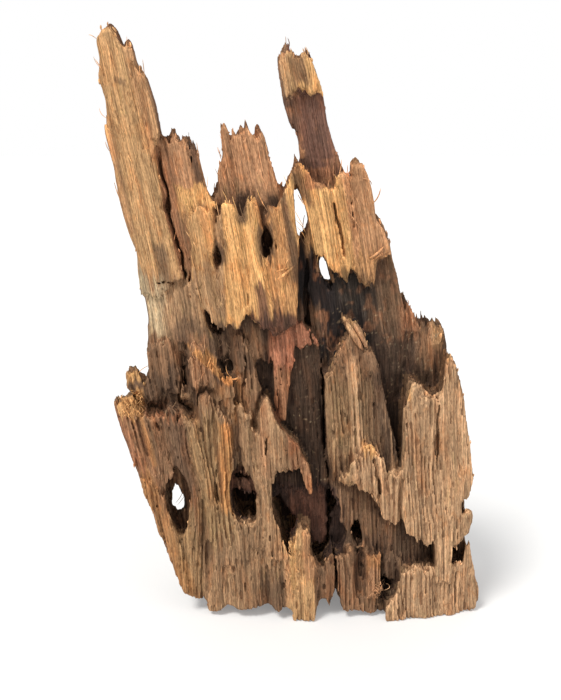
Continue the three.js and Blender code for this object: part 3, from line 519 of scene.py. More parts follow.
# Areas of one tone, painted in turn: left, right, low, high, lean, nearest and furthest level, softness,
# strength and tone. Left and right are given at the middle height. Levels of -9 and 99 set no limit.
AREAS = [
    (-80, 80, 104, 230, 0.0, -9, 99, 8, 1.0, "tan"),
    (-80, 80, -5, 104, 0.0, 8.5, 99, 2, 1.0, "umber"),
    (-80, 80, -5, 120, 0.0, 19, 99, 4, 1.0, "grey brown"),
    # the spires and the crown
    (-72, -40, 130, 230, -0.22, -9, 99, 3, 1.0, "tan"),
    (-56, -49, 170, 214, -0.25, -9, 99, 3, 0.5, "brown"),
    (-67, -62, 146, 182, -0.2, -9, 99, 2, 0.4, "red brown"),
    (-51, -46, 130, 144, -0.2, -9, 99, 3, 0.75, "umber"),
    (-63.5, -59.5, 197.8, 199.8, 0.0, -9, 99, 1, 0.6, "umber"),
    (-52, -30, 120, 186, -0.2, 1.2, 99, 2, 1.0, "brown"),
    (-47, -41, 140, 176, -0.2, 1.2, 99, 3, 0.6, "red brown"),
    (-37.6, -33.4, 156, 186, -0.22, -9, 99, 3, 0.75, "soot_and_shade"),
    (-34, -4, 140, 190, -0.14, 3.2, 99, 2, 1.0, "brown"),
    (-34, -27, 148, 172, -0.14, 3.2, 99, 3, 0.6, "umber"),
    (-30, -6, 152, 164, -0.14, 3.2, 99, 4, 0.7, "earth"),
    (-9, 12, 166, 215, -0.22, 8.2, 99, 1.5, 1.0, "waist"),
    (-3, 1, 168, 194, -0.22, 8.2, 99, 3, 0.5, "umber"),
    (-9, 12, 193, 215, -0.22, -9, 8.4, 1, 1.0, "tan"),
    (-5, 9, 193, 207, -0.22, -9, 8.4, 2, 0.7, "gold"),
    (-8, -3, 194, 215, -0.22, -9, 99, 2, 0.6, "pale brown"),
    (-2.5, 2.5, 198, 209, -0.22, -9, 99, 2, 0.8, "earth"),
    # the pale blocks in front
    (-41, 1, 111, 164, -0.14, -9, 2.6, 1.5, 1.0, "gold"),
    (-41, -31, 112, 156, -0.1, -9, 3.2, 3, 0.5, "grey brown"),
    (-34, -27, 112, 138, -0.1, -9, 3.2, 3, 0.75, "grey brown"),
    (-33, -28.5, 140, 155, -0.14, -9, 3.2, 2, 0.6, "deep gold"),
    (-29.8, -26.4, 118, 157, -0.02, -9, 3.2, 1.6, 0.85, "grey brown"),
    (-11.4, 0, 114, 160, -0.2, -9, 3.2, 2, 0.9, "deep gold"),
    (-5, 0, 130, 168, -0.12, -9, 3.2, 1.8, 0.85, "umber"),
    (-17, 1, 106, 119, -0.2, -9, 3.2, 3, 0.9, "ember"),
    (-14.8, -10.4, 112, 130, -0.2, -9, 3.2, 2, 0.9, "ember"),
    (-8.4, -5.4, 112, 125, -0.2, -9, 3.2, 2, 0.6, "ember"),
    (-16, -1, 104, 119.5, -0.2, -9, 3.2, 3, 0.6, "rot"),
    (-34, -16.6, 104, 115, 0.0, -9, 3.2, 1.6, 0.9, "umber"),
    (-21.6, -17.4, 153, 161, -0.1, -9, 99, 2.5, 0.9, "dark umber"),
    (-10.8, -6.6, 156.6, 163, -0.1, -9, 99, 2.5, 0.9, "dark umber"),
    (-13.2, -10, 152, 158, -0.1, -9, 99, 2, 0.8, "umber"),
    (-29.6, -25.6, 136, 143.4, -0.1, -9, 99, 2, 0.85, "dark umber"),
    (-14.4, -8.4, 139, 150, -0.1, -9, 99, 2.5, 0.85, "dark umber"),
    (-2, 34, 124, 176, -0.2, -9, 8, 1.5, 1.0, "gold"),
    (17, 34, 130, 176, -0.2, -9, 8, 3, 0.9, "brown"),
    (-2, 2.5, 158, 172, -0.3, -9, 99, 2, 0.8, "umber"),
    (2, 12.5, 163, 169.5, 0.0, -9, 99, 1, 0.8, "red brown"),
    (20, 33, 128, 140, -0.1, -9, 8, 3, 0.7, "orange"),
    # the waist, the floor of the valley, painted shade at the back of the deep cavity, and the burnt wood
    # beside it
    (-60, -34, 92, 133, -0.05, -9, 99, 3, 1.0, "grey brown"),
    (-46, -34, 92, 118, -0.05, -9, 99, 5, 0.8, "umber"),
    (-62, -49, 98, 131, -0.02, -9, 99, 6, 0.95, "lichen"),
    (0, 64, 60, 140, -0.1, 7, 99, 4, 1.0, "umber"),
    (16, 48, 52, 110, -0.14, 6, 99, 6, 1.0, "dark umber"),
    # near black: burnt wood, and painted shade on the back wall of the deep cavity
    (1, 26, 104, 138, -0.12, 6.5, 99, 5, 0.95, "soot_and_shade"),
    (14, 30, 120, 138, -0.2, 8, 99, 5, 0.85, "ash"),
    (5, 14, 106, 140, -0.1, 6.5, 99, 3, 0.8, "soot_and_shade"),
    (26, 38, 116, 150, -0.3, 8, 99, 5, 0.5, "earth"),
    (-6, 3, 116, 146, -0.1, 4.5, 99, 2, 0.85, "soot_and_shade"),
    (-40, 8, 84, 122, 0.0, 4, 99, 3, 1.0, "umber"),
    (-30, -8, 84, 106, 0.0, 8, 99, 4, 0.9, "dark umber"),
    (-30, 0, 106, 118, 0.0, 4, 99, 3, 0.8, "umber"),
    (-12, 9, 50, 106, -0.02, 6.5, 14, 2, 0.95, "dark umber"),
    (-9, -3, 76, 104, 0.0, 3, 8, 3, 0.9, "red brown"),
    (-9, 9, 98, 120, 0.0, 3, 8.4, 3, 1.0, "rust"),
    (-26, -12, 84, 112, -0.15, 3, 8, 2, 1.0, "earth"),
    (-33, -18, 108, 119, 0.0, 2.6, 99, 3, 0.7, "umber"),
    # the ledges on the left
    (-66, -41, 76, 109, -0.1, -9, 6, 2, 1.0, "earth"),
    (-64, -44, 76, 96, 0.0, -9, 6, 4, 0.95, "umber"),
    (-42, -18, 60, 110, -0.1, -9, 4.4, 2, 1.0, "umber"),
    (-40, -33, 92, 110, -0.1, -9, 4.4, 3, 0.8, "brown"),
    # painted shade in the recess right of the bright orange strip
    (-30, -18, 97, 109, -0.6, -9, 99, 2, 0.75, "umber"),
    (-33, -26.4, 92.5, 105, -1.1, -9, 4.4, 2, 0.95, "bright orange"),
    (-32, -20, 78, 92, 0.0, -9, 6, 4, 0.7, "orange"),
    (-64, -57, 91, 98, 0.0, -9, 99, 2, 0.7, "gold"),
    # the lower plates
    (-22, 6, 48, 90, -0.08, -9, 3.6, 1.5, 1.0, "red brown"),
    (-22, -16, 58, 82, -0.08, -9, 3.6, 3, 0.6, "grey brown"),
    (-72, -34, 2, 82, -0.22, -9, 6, 2, 1.0, "red brown"),
    (-52, -38, 4, 80, -0.22, -9, 6, 5, 0.9, "earth"),
    (-47.5, -38, 50, 80, -0.2, -9, 6, 3, 0.8, "umber"),
    (-46, -36, 10, 44, -0.2, -9, 6, 4, 0.7, "olive"),
    (-68, -58, 79, 88, 0.0, -9, 99, 2, 0.8, "gold"),
    (-60, -46, 5, 58, -0.35, -9, 3.5, 3, 0.85, "orange"),
    (-39.6, -24, 48, 88, -0.19, -9, 3.6, 1.6, 1.0, "grey brown"),
    (-36.6, -24, 0, 50, -0.05, -9, 3.6, 2.5, 1.0, "grey brown"),
    (-24.4, -2, 0, 92, -0.06, -9, 3.6, 2.5, 1.0, "grey brown"),
    (-40, -26, 66, 90, -0.06, -9, 3.6, 6, 0.5, "earth"),
    (-38, -26, 30, 80, -0.1, -9, 3.6, 5, 0.8, "olive"),
    (-28.6, -24.2, 42, 78, -0.02, -9, 3.6, 2.4, 0.95, "bright orange"),
    (-1, 5, 50, 70, -0.2, -9, 3.6, 2, 0.8, "brown"),
    (-24, -21.6, 54, 80, -0.05, -9, 3.6, 1.6, 0.7, "umber"),
    (-14.4, -11, 58, 88, -0.05, -9, 3.6, 1.4, 0.6, "brown"),
    (-57.6, -55.2, 60, 82, -0.3, -9, 6, 1.6, 0.7, "orange"),
    (-62, -58.4, 62, 78, -0.3, -9, 6, 2, 0.5, "grey brown"),
    (-15, -3, 0, 18, 0.0, -9, 4, 5, 0.7, "umber"),
    (10, 38, 50, 116, -0.1, -9, 5, 2, 1.0, "grey brown"),
    (8, 32, 84, 114, -0.1, -9, 5, 8, 0.75, "earth"),
    (13, 24, 92, 104, -0.1, -9, 5, 5, 0.2, "orange"),
    (12, 26, 90, 108, -0.1, -9, 5, 5, 0.35, "umber"),
    (12, 28, 56, 98, -0.1, -9, 5, 6, 0.4, "olive"),
    (23, 40, 60, 106, -0.16, -9, 6, 6, 0.45, "umber"),
    (29, 40, 58, 98, -0.2, -9, 6, 4, 0.8, "dark umber"),
    (11, 24, 54, 68, -0.1, 0, 5, 4, 0.6, "earth"),
    (20, 68, 14, 104, -0.06, -9, 1.2, 2.5, 1.0, "pale brown"),
    (23.6, 28, 67, 73, 0.0, -9, 1.2, 2, 0.9, "gold"),
    (38, 41.4, 88, 96, 0.0, -9, 1.2, 2, 0.7, "gold"),
    (32, 74, 0, 22, -0.04, -9, 2, 2, 1.0, "pale brown"),
    (12, 64, 2, 62, -0.04, 2.8, 12, 2.5, 1.0, "umber"),
    (14, 40, 34, 60, -0.04, 2.8, 12, 5, 0.7, "earth"),
    (-5, 7, 0, 38, -0.05, -9, 3, 1.5, 1.0, "tan"),
    (-5.4, -2.8, 8, 30, -0.05, -9, 3, 1.6, 0.6, "brown"),
    (-3, -0.6, 14, 34, -0.05, -9, 3, 1.2, 0.6, "gold"),
    (2, 7, 18, 38, -0.05, -9, 3, 2, 0.6, "red brown"),
    (7, 30, 0, 30, -0.04, -9, 5, 2, 1.0, "earth"),
    (21.6, 26.4, 10, 26, -0.04, -9, 5, 3, 0.8, "umber"),
    (26, 33, 8, 28, -0.04, -9, 3, 2, 0.6, "brown"),
    (26.4, 32, 20, 27, -0.04, -9, 3, 2, 0.6, "orange"),
    # the hollows
    (-10, 18, 22, 53, -0.1, 5, 30, 1.5, 1.0, "rot"),
    (-2, 11, 26, 50, -0.1, 8, 16, 3, 0.9, "ember"),
    (-26, -14, 37, 51, -0.05, 5, 30, 1.5, 1.0, "rot"),
    (-26, -14, 50, 60, -0.05, 4, 12, 1.5, 0.9, "ember"),
    (-51, -39, 30, 61, -0.2, 7, 30, 2, 0.9, "earth"),
    (37, 45, 108, 122, 0.0, -9, 99, 3, 0.6, "red brown"),
    (45, 57, 98, 113, -0.05, -9, 14, 3, 0.6, "brown"),
    (50, 57, 103, 113, -0.05, -9, 14, 2, 0.6, "tan"),
    (10, 26, 124, 133, -0.1, -9, 8, 3, 0.6, "soot_and_shade"),
]


def weathered(x, y, z):
    """The tone of the sides and the back: fresh wood high up, grey brown with dark and pale runs below."""
    tone = np.tile(srgb(*TONES["grey brown"]), (len(x), 1))
    runs = noise(x / 15, y / 11, z / 40, 52) + 0.4 * noise(x / 2.5, y / 2.5, z / 18, 53)
    fresh = ramp(z + 9 * noise(x / 9, y / 9, z / 12, 51) + 5 * noise(x / 2, y / 2, z / 20, 54), 112, 150)
    for name, amount in (
        ("brown", 0.8 * fresh),
        ("umber", (0.85 - 0.5 * fresh) * ramp(runs, 0.05, 0.7)),
        ("pale brown", 0.7 * ramp(-runs, 0.15, 0.8)),
        ("lichen", 0.5 * ramp(noise(x / 7, y / 7, z / 16, 55), 0.45, 0.8)),
    ):
        tone += (srgb(*TONES[name]) - tone) * amount[:, None]
    return tone


def nearest_around(front, reach):
    """For each (x, z), the smallest depth within reach of it along either axis."""
    nearest = front.copy()
    for step in range(1, round(reach / VOXEL) + 1):
        for axis in (0, 1):
            for way in (-step, step):
                nearest = np.minimum(nearest, np.roll(front, way, axis))
    return nearest


def narrowed(mask, value, low, high, soft):
    """The mask, cut down to where value lies between low and high, with edges as wide as soft."""
    mask = mask * ramp(value, low - soft / 2, low + soft / 2)
    return mask * ramp(-value, -high - soft / 2, -high + soft / 2)


def area_tones(x, y, z, u, level):
    """Each point's tone by area, with ragged borders that run along the grain."""
    ragged = noise(u / 1.6, y / 3, z / 16, 31) + 1.4 * noise(u / 5, y / 5, z / 9, 32)
    streaky = noise(u / 1.1, y / 2, z / 60, 33) + 0.7 * noise(u / 0.5, y, z / 60, 34)
    tone = np.tile(srgb(*TONES["grey brown"]), (len(x), 1))
    for x0, x1, z0, z1, lean, near, far, soft, strength, name in AREAS:
        middle = (z0 + z1) / 2
        sideways = x - lean * (z - middle) + 0.25 * soft * ragged
        upward = z + 0.4 * soft * ragged + 1.1 * soft * streaky
        mask = narrowed(1, sideways, x0, x1, soft)
        mask = narrowed(mask, upward, z0, z1, soft)
        mask = narrowed(mask, level, near, far, 1)
        tone += (srgb(*TONES[name]) - tone) * (mask * strength)[:, None]
    return tone


def spotted_and_dusty(tone, x, y, z, level):
    """The tone with red brown spots on the burnt wood and the spire's neck, and pale dust on the panel."""
    burnt = ramp(x, -4, 4) * ramp(-x, -44, -34) * ramp(z, 96, 108) * ramp(-z, -144, -134)
    burnt = burnt * ramp(level, 6.5, 8)
    spotted = ramp(noise(x / 3.2, y / 3.2, z / 4.5, 37) + 0.5 * noise(x, y, z / 1.5, 38), 0.15, 0.7)
    neck = ramp(z, 166, 169) * ramp(-z, -200, -192) * ramp(level, 8, 9) * ramp(x, -12, -9)
    tone += (srgb(*TONES["red brown"]) - tone) * (0.5 * np.maximum(burnt, neck) * spotted)[:, None]
    panel = ramp(level, 6, 7) * ramp(-level, -16, -14) * ramp(z, 34, 44) * ramp(-z, -124, -116)
    dust = ramp(noise(x / 0.8, y / 0.8, z / 0.8, 39), 0.6, 0.8)
    dust = dust * ramp(noise(x / 9, y / 9, z / 9, 40), -0.2, 0.5)
    tone += (srgb(*TONES["lichen"]) - tone) * (0.75 * panel * dust)[:, None]
    return tone


def painted(points, front, axes):
    """Each point's tone, place across the grain, groove, and painted shade in hollows and beside steps."""
    x, y, z = points.T
    level = y - bulge(x) - RECLINE * z
    u = grain_across(x, z)
    tone = spotted_and_dusty(area_tones(x, y, z, u, level), x, y, z, level)
    xs, _, zs = axes
    i = np.clip(np.round((x - xs[0]) / VOXEL).astype(int), 0, len(xs) - 1)
    k = np.clip(np.round((z - zs[0]) / VOXEL).astype(int), 0, len(zs) - 1)
    # the sides, the back and the inside of overhangs are painted as weathered wood
    beside_a_gap = -nearest_around(-front, EMPTY_REACH) >= NO_WOOD
    beside = np.where(beside_a_gap, nearest_around(front, SIDE_REACH), front)[i, k]
    hidden = ramp(y - beside, 3, 8)
    tone += (weathered(x, y, z) - tone) * hidden[:, None]
    facing = ramp(-level, -24, -17)
    # painted shade: darker the deeper a point lies behind the nearest wood in front, in hollows and gaps
    hollow = ramp(y - nearest_around(front, HOLLOW_REACH)[i, k], 2.0, 9.0) * facing
    # painted shade: darker just behind a raised edge, where a layer in front stands forward
    step = ramp(y - nearest_around(front, STEP_REACH)[i, k], 1.0, 3.0) * facing
    # lighter just below top edges, where the wood above lies further back: pale torn ends and a painted
    # highlight
    above = np.roll(front, -round(RIM_REACH / VOXEL), axis=1)[i, k]
    rim = ramp(above - y, 1.0, 3.0) * ramp(beside - y, -2.0, -0.8) * facing
    tone = tone * (1 + 0.28 * rim)[:, None]
    # groove depth: dark grooves (dirt and painted shade) and light crests (painted highlight)
    groove = wear(x, y, z)[1]
    wavy = 0.6 * noise(u / 6, y / 6, z / 26, 35) + 0.12 * noise(u / 2, y / 2, z / 12, 36)
    return tone, u + wavy, hollow, step, groove


def mesh_object(name, points, faces):
    """Points in outline coordinates, in millimetres, become an object in the row frame, in metres."""
    placed = (points - np.array([*BASE_MIDDLE, 0])) / 1000
    data = bpy.data.meshes.new(name)
    faces = np.asarray(faces)
    data.vertices.add(len(placed))
    data.vertices.foreach_set("co", placed.astype(np.float32).ravel())
    data.loops.add(faces.size)
    data.loops.foreach_set("vertex_index", faces.astype(np.int32).ravel())
    data.polygons.add(len(faces))
    starts = np.arange(len(faces)) * faces.shape[1]
    data.polygons.foreach_set("loop_start", starts.astype(np.int32))
    data.update(calc_edges=True)
    data.validate()
    data.polygons.foreach_set("use_smooth", np.ones(len(data.polygons), bool))
    obj = bpy.data.objects.new(name, data)
    bpy.context.scene.collection.objects.link(obj)
    return obj


def add_attributes(obj, tone, grain, **values):
    """Stores what the material reads at each point: the tone, the place in the grain and some amounts."""
    data = obj.data
    colour = data.attributes.new("tone", "FLOAT_COLOR", "POINT")
    opaque = np.column_stack([tone, np.ones(len(tone))])
    colour.data.foreach_set("color", opaque.astype(np.float32).ravel())
    vector = data.attributes.new("grain", "FLOAT_VECTOR", "POINT")
    vector.data.foreach_set("vector", grain.astype(np.float32).ravel())
    for name, value in values.items():
        data.attributes.new(name, "FLOAT", "POINT").data.foreach_set("value", value.astype(np.float32))


# ---- material

def wood_material():
    """Weathered wood: the painted tone, streaked along the grain, with dark pores, painted shade and
    highlight, and a dull surface.
    """
    material = bpy.data.materials.new("weathered_wood")
    material.use_nodes = True
    nodes, links = material.node_tree.nodes, material.node_tree.links
    nodes.clear()
    output = nodes.new("ShaderNodeOutputMaterial")
    shader = nodes.new("ShaderNodeBsdfPrincipled")
    links.new(shader.outputs["BSDF"], output.inputs["Surface"])

    def attribute(name, socket):
        node = nodes.new("ShaderNodeAttribute")
        node.attribute_name = name
        return node.outputs[socket]

    def stretched(across, along, detail, roughness=0.6, distortion=0.0):
        """Noise drawn out along the grain: waves for each millimetre across it and along it."""
        scale = nodes.new("ShaderNodeVectorMath")
        scale.operation = "MULTIPLY"
        scale.inputs[1].default_value = (across, across, along)
        links.new(grain, scale.inputs[0])
        node = nodes.new("ShaderNodeTexNoise")
        node.inputs["Scale"].default_value = 1.0
        node.inputs["Detail"].default_value = detail
        node.inputs["Roughness"].default_value = roughness
        node.inputs["Distortion"].default_value = distortion
        links.new(scale.outputs[0], node.inputs["Vector"])
        return node.outputs["Fac"]

    def mapped(value, low, high, to_low, to_high):
        node = nodes.new("ShaderNodeMapRange")
        node.interpolation_type = "SMOOTHSTEP"
        node.inputs["From Min"].default_value = low
        node.inputs["From Max"].default_value = high
        node.inputs["To Min"].default_value = to_low
        node.inputs["To Max"].default_value = to_high
        links.new(value, node.inputs["Value"])
        return node.outputs["Result"]

    def maths(operation, a, b):
        node = nodes.new("ShaderNodeMath")
        node.operation = operation
        for socket, value in zip(node.inputs, (a, b)):
            if isinstance(value, (int, float)):
                socket.default_value = value
            else:
                links.new(value, socket)
        return node.outputs[0]

    def mixed(factor, a, b, blend="MIX"):
        node = nodes.new("ShaderNodeMix")
        node.data_type = "RGBA"
        node.blend_type = blend
        for socket, value in ((node.inputs[0], factor), (node.inputs[6], a), (node.inputs[7], b)):
            if isinstance(value, bpy.types.NodeSocket):
                links.new(value, socket)
            elif isinstance(value, (int, float)):
                socket.default_value = value
            else:
                socket.default_value = (*value, 1)
        return node.outputs[2]

    grain = attribute("grain", "Vector")
    tone = attribute("tone", "Color")
    hollow = attribute("hollow", "Fac")
    step = attribute("step", "Fac")
    groove = attribute("groove", "Fac")

    streaks = stretched(0.5, 0.02, 3.0)
    strands = stretched(1.3, 0.02, 2.0)
    fibres = stretched(3.4, 0.045, 2.0)
    speckle = stretched(2.4, 0.9, 2.0)
    pores = stretched(2.6, 0.36, 1.5, 0.5)
    blotches = stretched(0.14, 0.05, 3.0, 0.6, 0.4)
    mottling = stretched(0.4, 0.16, 3.0, 0.65, 0.5)
    flecks = stretched(1.8, 0.2, 2.0)

    colour = tone
    for pattern, change in ((streaks, 0.22), (strands, 0.24), (fibres, 0.3), (speckle, 0.16)):
        colour = mixed(1.0, colour, mapped(pattern, 0.34, 0.66, 1 - change, 1 + change), "MULTIPLY")
    # each tint: its pattern, where that starts and ends, the most of it, and the colour it multiplies by
    tints = (
        (blotches, 0.5, 0.68, 0.6, (1.1, 0.88, 0.74)),
        (blotches, 0.42, 0.26, 0.6, (0.82, 0.9, 0.94)),
        (mottling, 0.54, 0.68, 0.6, (1.04, 0.86, 0.7)),
        (mottling, 0.44, 0.3, 0.7, (0.86, 0.92, 0.84)),
        # darker in grooves and pits, partly dirt and partly painted shade; lighter on crests, a painted
        # highlight
        (groove, 0.25, 1.2, 0.85, (0.36, 0.29, 0.25)),
        (groove, 0.2, -0.2, 0.5, (1.25, 1.22, 1.18)),
        (pores, 0.58, 0.7, 0.7, (0.38, 0.3, 0.26)),
        (flecks, 0.6, 0.7, 0.5, (0.8, 0.56, 0.44)),
        # painted shade in hollows and just behind raised edges
        (hollow, 0.0, 1.0, 0.5, (0.34, 0.28, 0.26)),
        (step, 0.0, 1.0, 0.4, (0.4, 0.34, 0.31)),
    )
    for pattern, start, end, most, tint in tints:
        tinted = mixed(1.0, colour, tint, "MULTIPLY")
        colour = mixed(mapped(pattern, start, end, 0.0, most), colour, tinted)
    links.new(colour, shader.inputs["Base Color"])

    links.new(mapped(fibres, 0.25, 0.75, 0.94, 0.72), shader.inputs["Roughness"])
    shader.inputs["Specular IOR Level"].default_value = 0.25

    height = maths("ADD", maths("MULTIPLY", fibres, 0.6), maths("MULTIPLY", pores, -0.5))
    bump = nodes.new("ShaderNodeBump")
    bump.inputs["Strength"].default_value = 0.7
    bump.inputs["Distance"].default_value = 0.0006
    links.new(height, bump.inputs["Height"])
    links.new(bump.outputs["Normal"], shader.inputs["Normal"])
    return material


# ---- splinters and loose fibres

# Each splinter: (x, z, height above the surface) at both ends, its middle's bow in (x, z), and its radius.
SPLINTERS = [
    ((-0.9, 137.4, 0.6), (-8.2, 131.6, 2.6), (0.2, -0.2), 0.55),
    ((-0.4, 136.2, 0.6), (-8.6, 134.6, 2.4), (0.0, 0.2), 0.38),
    ((-5.2, 133.2, 0.6), (-3.6, 139.4, 1.6), (-0.5, 0.2), 0.16),
    ((24.4, 138.2, 0.2), (29.8, 143.2, 2.4), (0.3, -0.3), 0.42),
    ((25.4, 137.4, 0.2), (29.6, 141.2, 1.6), (0.2, -0.2), 0.3),
    ((25.2, 157.4, 0.2), (28.2, 163.4, 1.6), (0.6, -0.4), 0.24),
    ((21.6, 166.2, 0.2), (25.4, 164.0, 1.6), (0.5, 0.9), 0.2),
    ((-69.8, 213.2, 0.2), (-72.6, 214.6, 0.4), (-0.2, 0.5), 0.14),
    ((-66.6, 186.6, 0.2), (-69.4, 190.4, 0.4), (-0.6, -0.4), 0.12),
    ((-63.8, 181.2, 0.2), (-67.2, 184.6, 0.4), (-0.7, -0.3), 0.14),
    ((-68.4, 203.4, 0.2), (-70.4, 207.4, 0.4), (-0.5, 0.3), 0.1),
    ((-58.6, 94.4, 0.2), (-54.6, 98.6, 1.2), (-0.5, 0.4), 0.14),
    ((-25.6, 94.8, 0.2), (-21.4, 96.6, 1.2), (0.8, -1.1), 0.3),
    ((-48.4, 82.2, 0.2), (-45.0, 85.6, 1.0), (0.5, -0.3), 0.24),
    ((12.8, 103.6, 0.2), (10.4, 106.4, 1.2), (-0.4, -0.3), 0.24),
    ((23.2, 105.6, 0.6), (16.8, 116.4, 1.8), (0.0, 0.0), 1.3),
    ((25.0, 106.2, 0.4), (19.4, 116.2, 1.6), (0.0, 0.0), 1.1),
    ((-44.2, 48.6, 1.0), (-47.4, 42.2, 1.0), (0.9, 0.2), 0.12),
    ((-43.4, 45.6, 1.0), (-46.6, 41.4, 1.0), (0.5, 0.6), 0.1),
    ((-0.4, 152.6, 0.2), (2.4, 147.6, 1.4), (0.3, 0.4), 0.12),
    ((-0.2, 149.8, 0.2), (2.6, 144.8, 1.4), (0.2, 0.4), 0.1),
    ((0.4, 155.4, 0.2), (1.8, 149.6, 1.2), (-0.2, 0.3), 0.12),
    ((2.2, 161.6, 0.2), (3.4, 155.4, 1.2), (-0.3, 0.2), 0.1),
    # the torn rim on the right
    ((38.6, 113.4, -0.4), (37.9, 119.6, 0.4), (0.2, 0.0), 0.55),
    ((40.4, 112.0, -0.4), (39.9, 118.0, 0.4), (0.2, 0.0), 0.6),
    ((42.4, 110.8, -0.4), (42.2, 116.0, 0.4), (0.2, 0.0), 0.6),
    ((44.6, 109.2, -0.4), (44.2, 113.4, 0.4), (0.2, 0.0), 0.5),
    ((48.8, 106.8, -0.4), (48.4, 111.4, 0.4), (0.2, 0.0), 0.6),
    ((50.8, 106.6, -0.4), (50.9, 111.6, 0.4), (-0.2, 0.0), 0.6),
    ((53.0, 104.6, -0.4), (53.7, 109.6, 0.4), (-0.2, 0.0), 0.6),
]

# Where loose fibres lie: left, right, low, high, how many, how long and how far they stand off.
FIBRES = [
    (-67, -50, 140, 210, 60, 9, 0.3),
    (-38, 0, 118, 162, 90, 9, 0.5),
    (-2, 24, 132, 168, 50, 8, 0.5),
    (-46, -34, 136, 178, 30, 6, 0.5),
    (-28, -8, 160, 182, 24, 5, 0.4),
    (-6, 6, 196, 212, 14, 4, 0.4),
    (-40, -22, 92, 106, 50, 5, 0.9),
    (-66, -57, 78, 86, 60, 4, 1.5),
    (28, 34, 8, 14, 40, 4, 1.6),
    (-4, 0, 10, 30, 30, 4, 1.0),
]


def fibre(start, end, bow, radius, sides=5, steps=7):
    """A tube from start to end, bowed in the middle and pointed at both ends: its points and triangles."""
    along = np.linspace(0, 1, steps + 1)[:, None]
    line = start + (end - start) * along + bow * 4 * along * (1 - along)
    direction = (end - start) / np.linalg.norm(end - start)
    across = np.cross(direction, (0.0, 1.0, 0.0))
    across /= np.linalg.norm(across)
    other = np.cross(direction, across)
    turn = np.linspace(0, 2 * math.pi, sides, endpoint=False)
    ring = np.cos(turn)[:, None] * across + np.sin(turn)[:, None] * other
    points = [line[:1]]
    for step in range(1, steps):
        width = radius * math.sin(math.pi * step / steps) ** 0.4
        points.append(line[step] + width * ring)
    points.append(line[-1:])
    faces = []
    last = 1 + (steps - 1) * sides
    for a in range(sides):
        b = (a + 1) % sides
        faces.append((0, 1 + b, 1 + a))
        faces.append((last, last - sides + a, last - sides + b))
        for step in range(steps - 2):
            near, far = 1 + step * sides, 1 + (step + 1) * sides
            faces.append((near + a, near + b, far + b))
            faces.append((near + a, far + b, far + a))
    return np.concatenate(points), np.array(faces)


def depth_at(front, axes, x, z, otherwise=None):
    """The depth where the wood starts at (x, z), or otherwise where there is none."""
    xs, _, zs = axes
    i = int(round((x - xs[0]) / VOXEL))
    k = int(round((z - zs[0]) / VOXEL))
    depth = front[i, k] if 0 <= i < len(xs) and 0 <= k < len(zs) else NO_WOOD
    return otherwise if depth >= NO_WOOD else float(depth)


def laid_splinters(front, axes):
    """The splinters of the list, each rooted in the wood nearest to its start."""
    xs, _, zs = axes
    wood_i, wood_k = np.nonzero(front < NO_WOOD)
    wood_x, wood_z = xs[wood_i], zs[wood_k]
    for (x0, z0, lift0), (x1, z1, lift1), (bow_x, bow_z), radius in SPLINTERS:
        nearest = np.hypot(wood_x - x0, wood_z - z0).argmin()
        if depth_at(front, axes, x0, z0) is None:
            x0, z0 = float(wood_x[nearest]), float(wood_z[nearest])
        y0 = float(front[wood_i[nearest], wood_k[nearest]])
        y1 = min(depth_at(front, axes, x1, z1, y0), y0 + 2)
        y0 = min(y0, y1 + 1)
        start = np.array([x0, y0 - min(lift0, 0.6) + 0.3, z0])
        end = np.array([x1, y1 - lift1, z1])
        yield fibre(start, end, np.array([bow_x, -0.5, bow_z]), radius)


def loose_fibres(front, axes, chance):
    """Thin fibres strewn over the areas of the list."""
    for left, right, low, high, count, length, loose in FIBRES:
        for _ in range(count):
            z0 = chance.uniform(low, high)
            x0 = chance.uniform(left, right)
            y0 = depth_at(front, axes, x0, z0)
            reach = length * chance.uniform(0.4, 1.0)
            tilt = chance.normal(0, 0.16) + 0.5 * loose * chance.normal(0, 0.4)
            lean = grain_lean(x0, z0) + tilt
            x1, z1 = x0 + lean * reach, z0 + reach
            if y0 is None:
                continue
            y1 = min(depth_at(front, axes, x1, z1, y0), y0 + 1)
            start = np.array([x0, y0 + 0.1, z0])
            end = np.array([x1, y1 - loose * chance.uniform(0, 1), z1])
            bow = np.array([loose * chance.normal(0, 0.8), -loose * chance.uniform(0.3, 1), 0.0])
            yield fibre(start, end, bow, chance.uniform(0.09, 0.18))


def edge_fibres(front, axes, chance):
    """Short fibres that stick out past torn edges, more of them upwards than downwards."""
    xs, _, zs = axes
    back_step = front[:, 2:] - front[:, :-2]
    for jump, count, way in ((back_step, 150, 1), (-back_step, 50, -1)):
        i, k = np.nonzero((jump > EDGE_JUMP) & (zs[None, 1:-1] > LOWEST_EDGE))
        for pick in chance.choice(len(i), min(count, len(i)), replace=False):
            x0, z0 = float(xs[i[pick]]), float(zs[k[pick] + 1])
            y0 = depth_at(front, axes, x0, z0 - way * ROOT)
            if y0 is None:
                continue
            reach = chance.uniform(0.3, 1.0) * way
            lean = grain_lean(x0, z0) + chance.normal(0, 0.22)
            start = np.array([x0 - lean * way, y0 + 0.2, z0 - way * ROOT])
            end = np.array([x0 + lean * reach, y0 + chance.uniform(-0.7, 0.4), z0 + reach])
            bow = np.array([chance.normal(0, 0.12), -0.15, 0.0])
            yield fibre(start, end, bow, chance.uniform(0.15, 0.4), steps=4)


def splinters(front, axes):
    """All the splinters and fibres as one set of points and triangles."""
    chance = np.random.default_rng(12)
    tubes = [*laid_splinters(front, axes)]
    tubes += loose_fibres(front, axes, chance)
    tubes += edge_fibres(front, axes, chance)
    points, faces, total = [], [], 0
    for tube_points, tube_faces in tubes:
        points.append(tube_points)
        faces.append(tube_faces + total)
        total += len(tube_points)
    return np.concatenate(points), np.concatenate(faces)


# ---- the scene around it

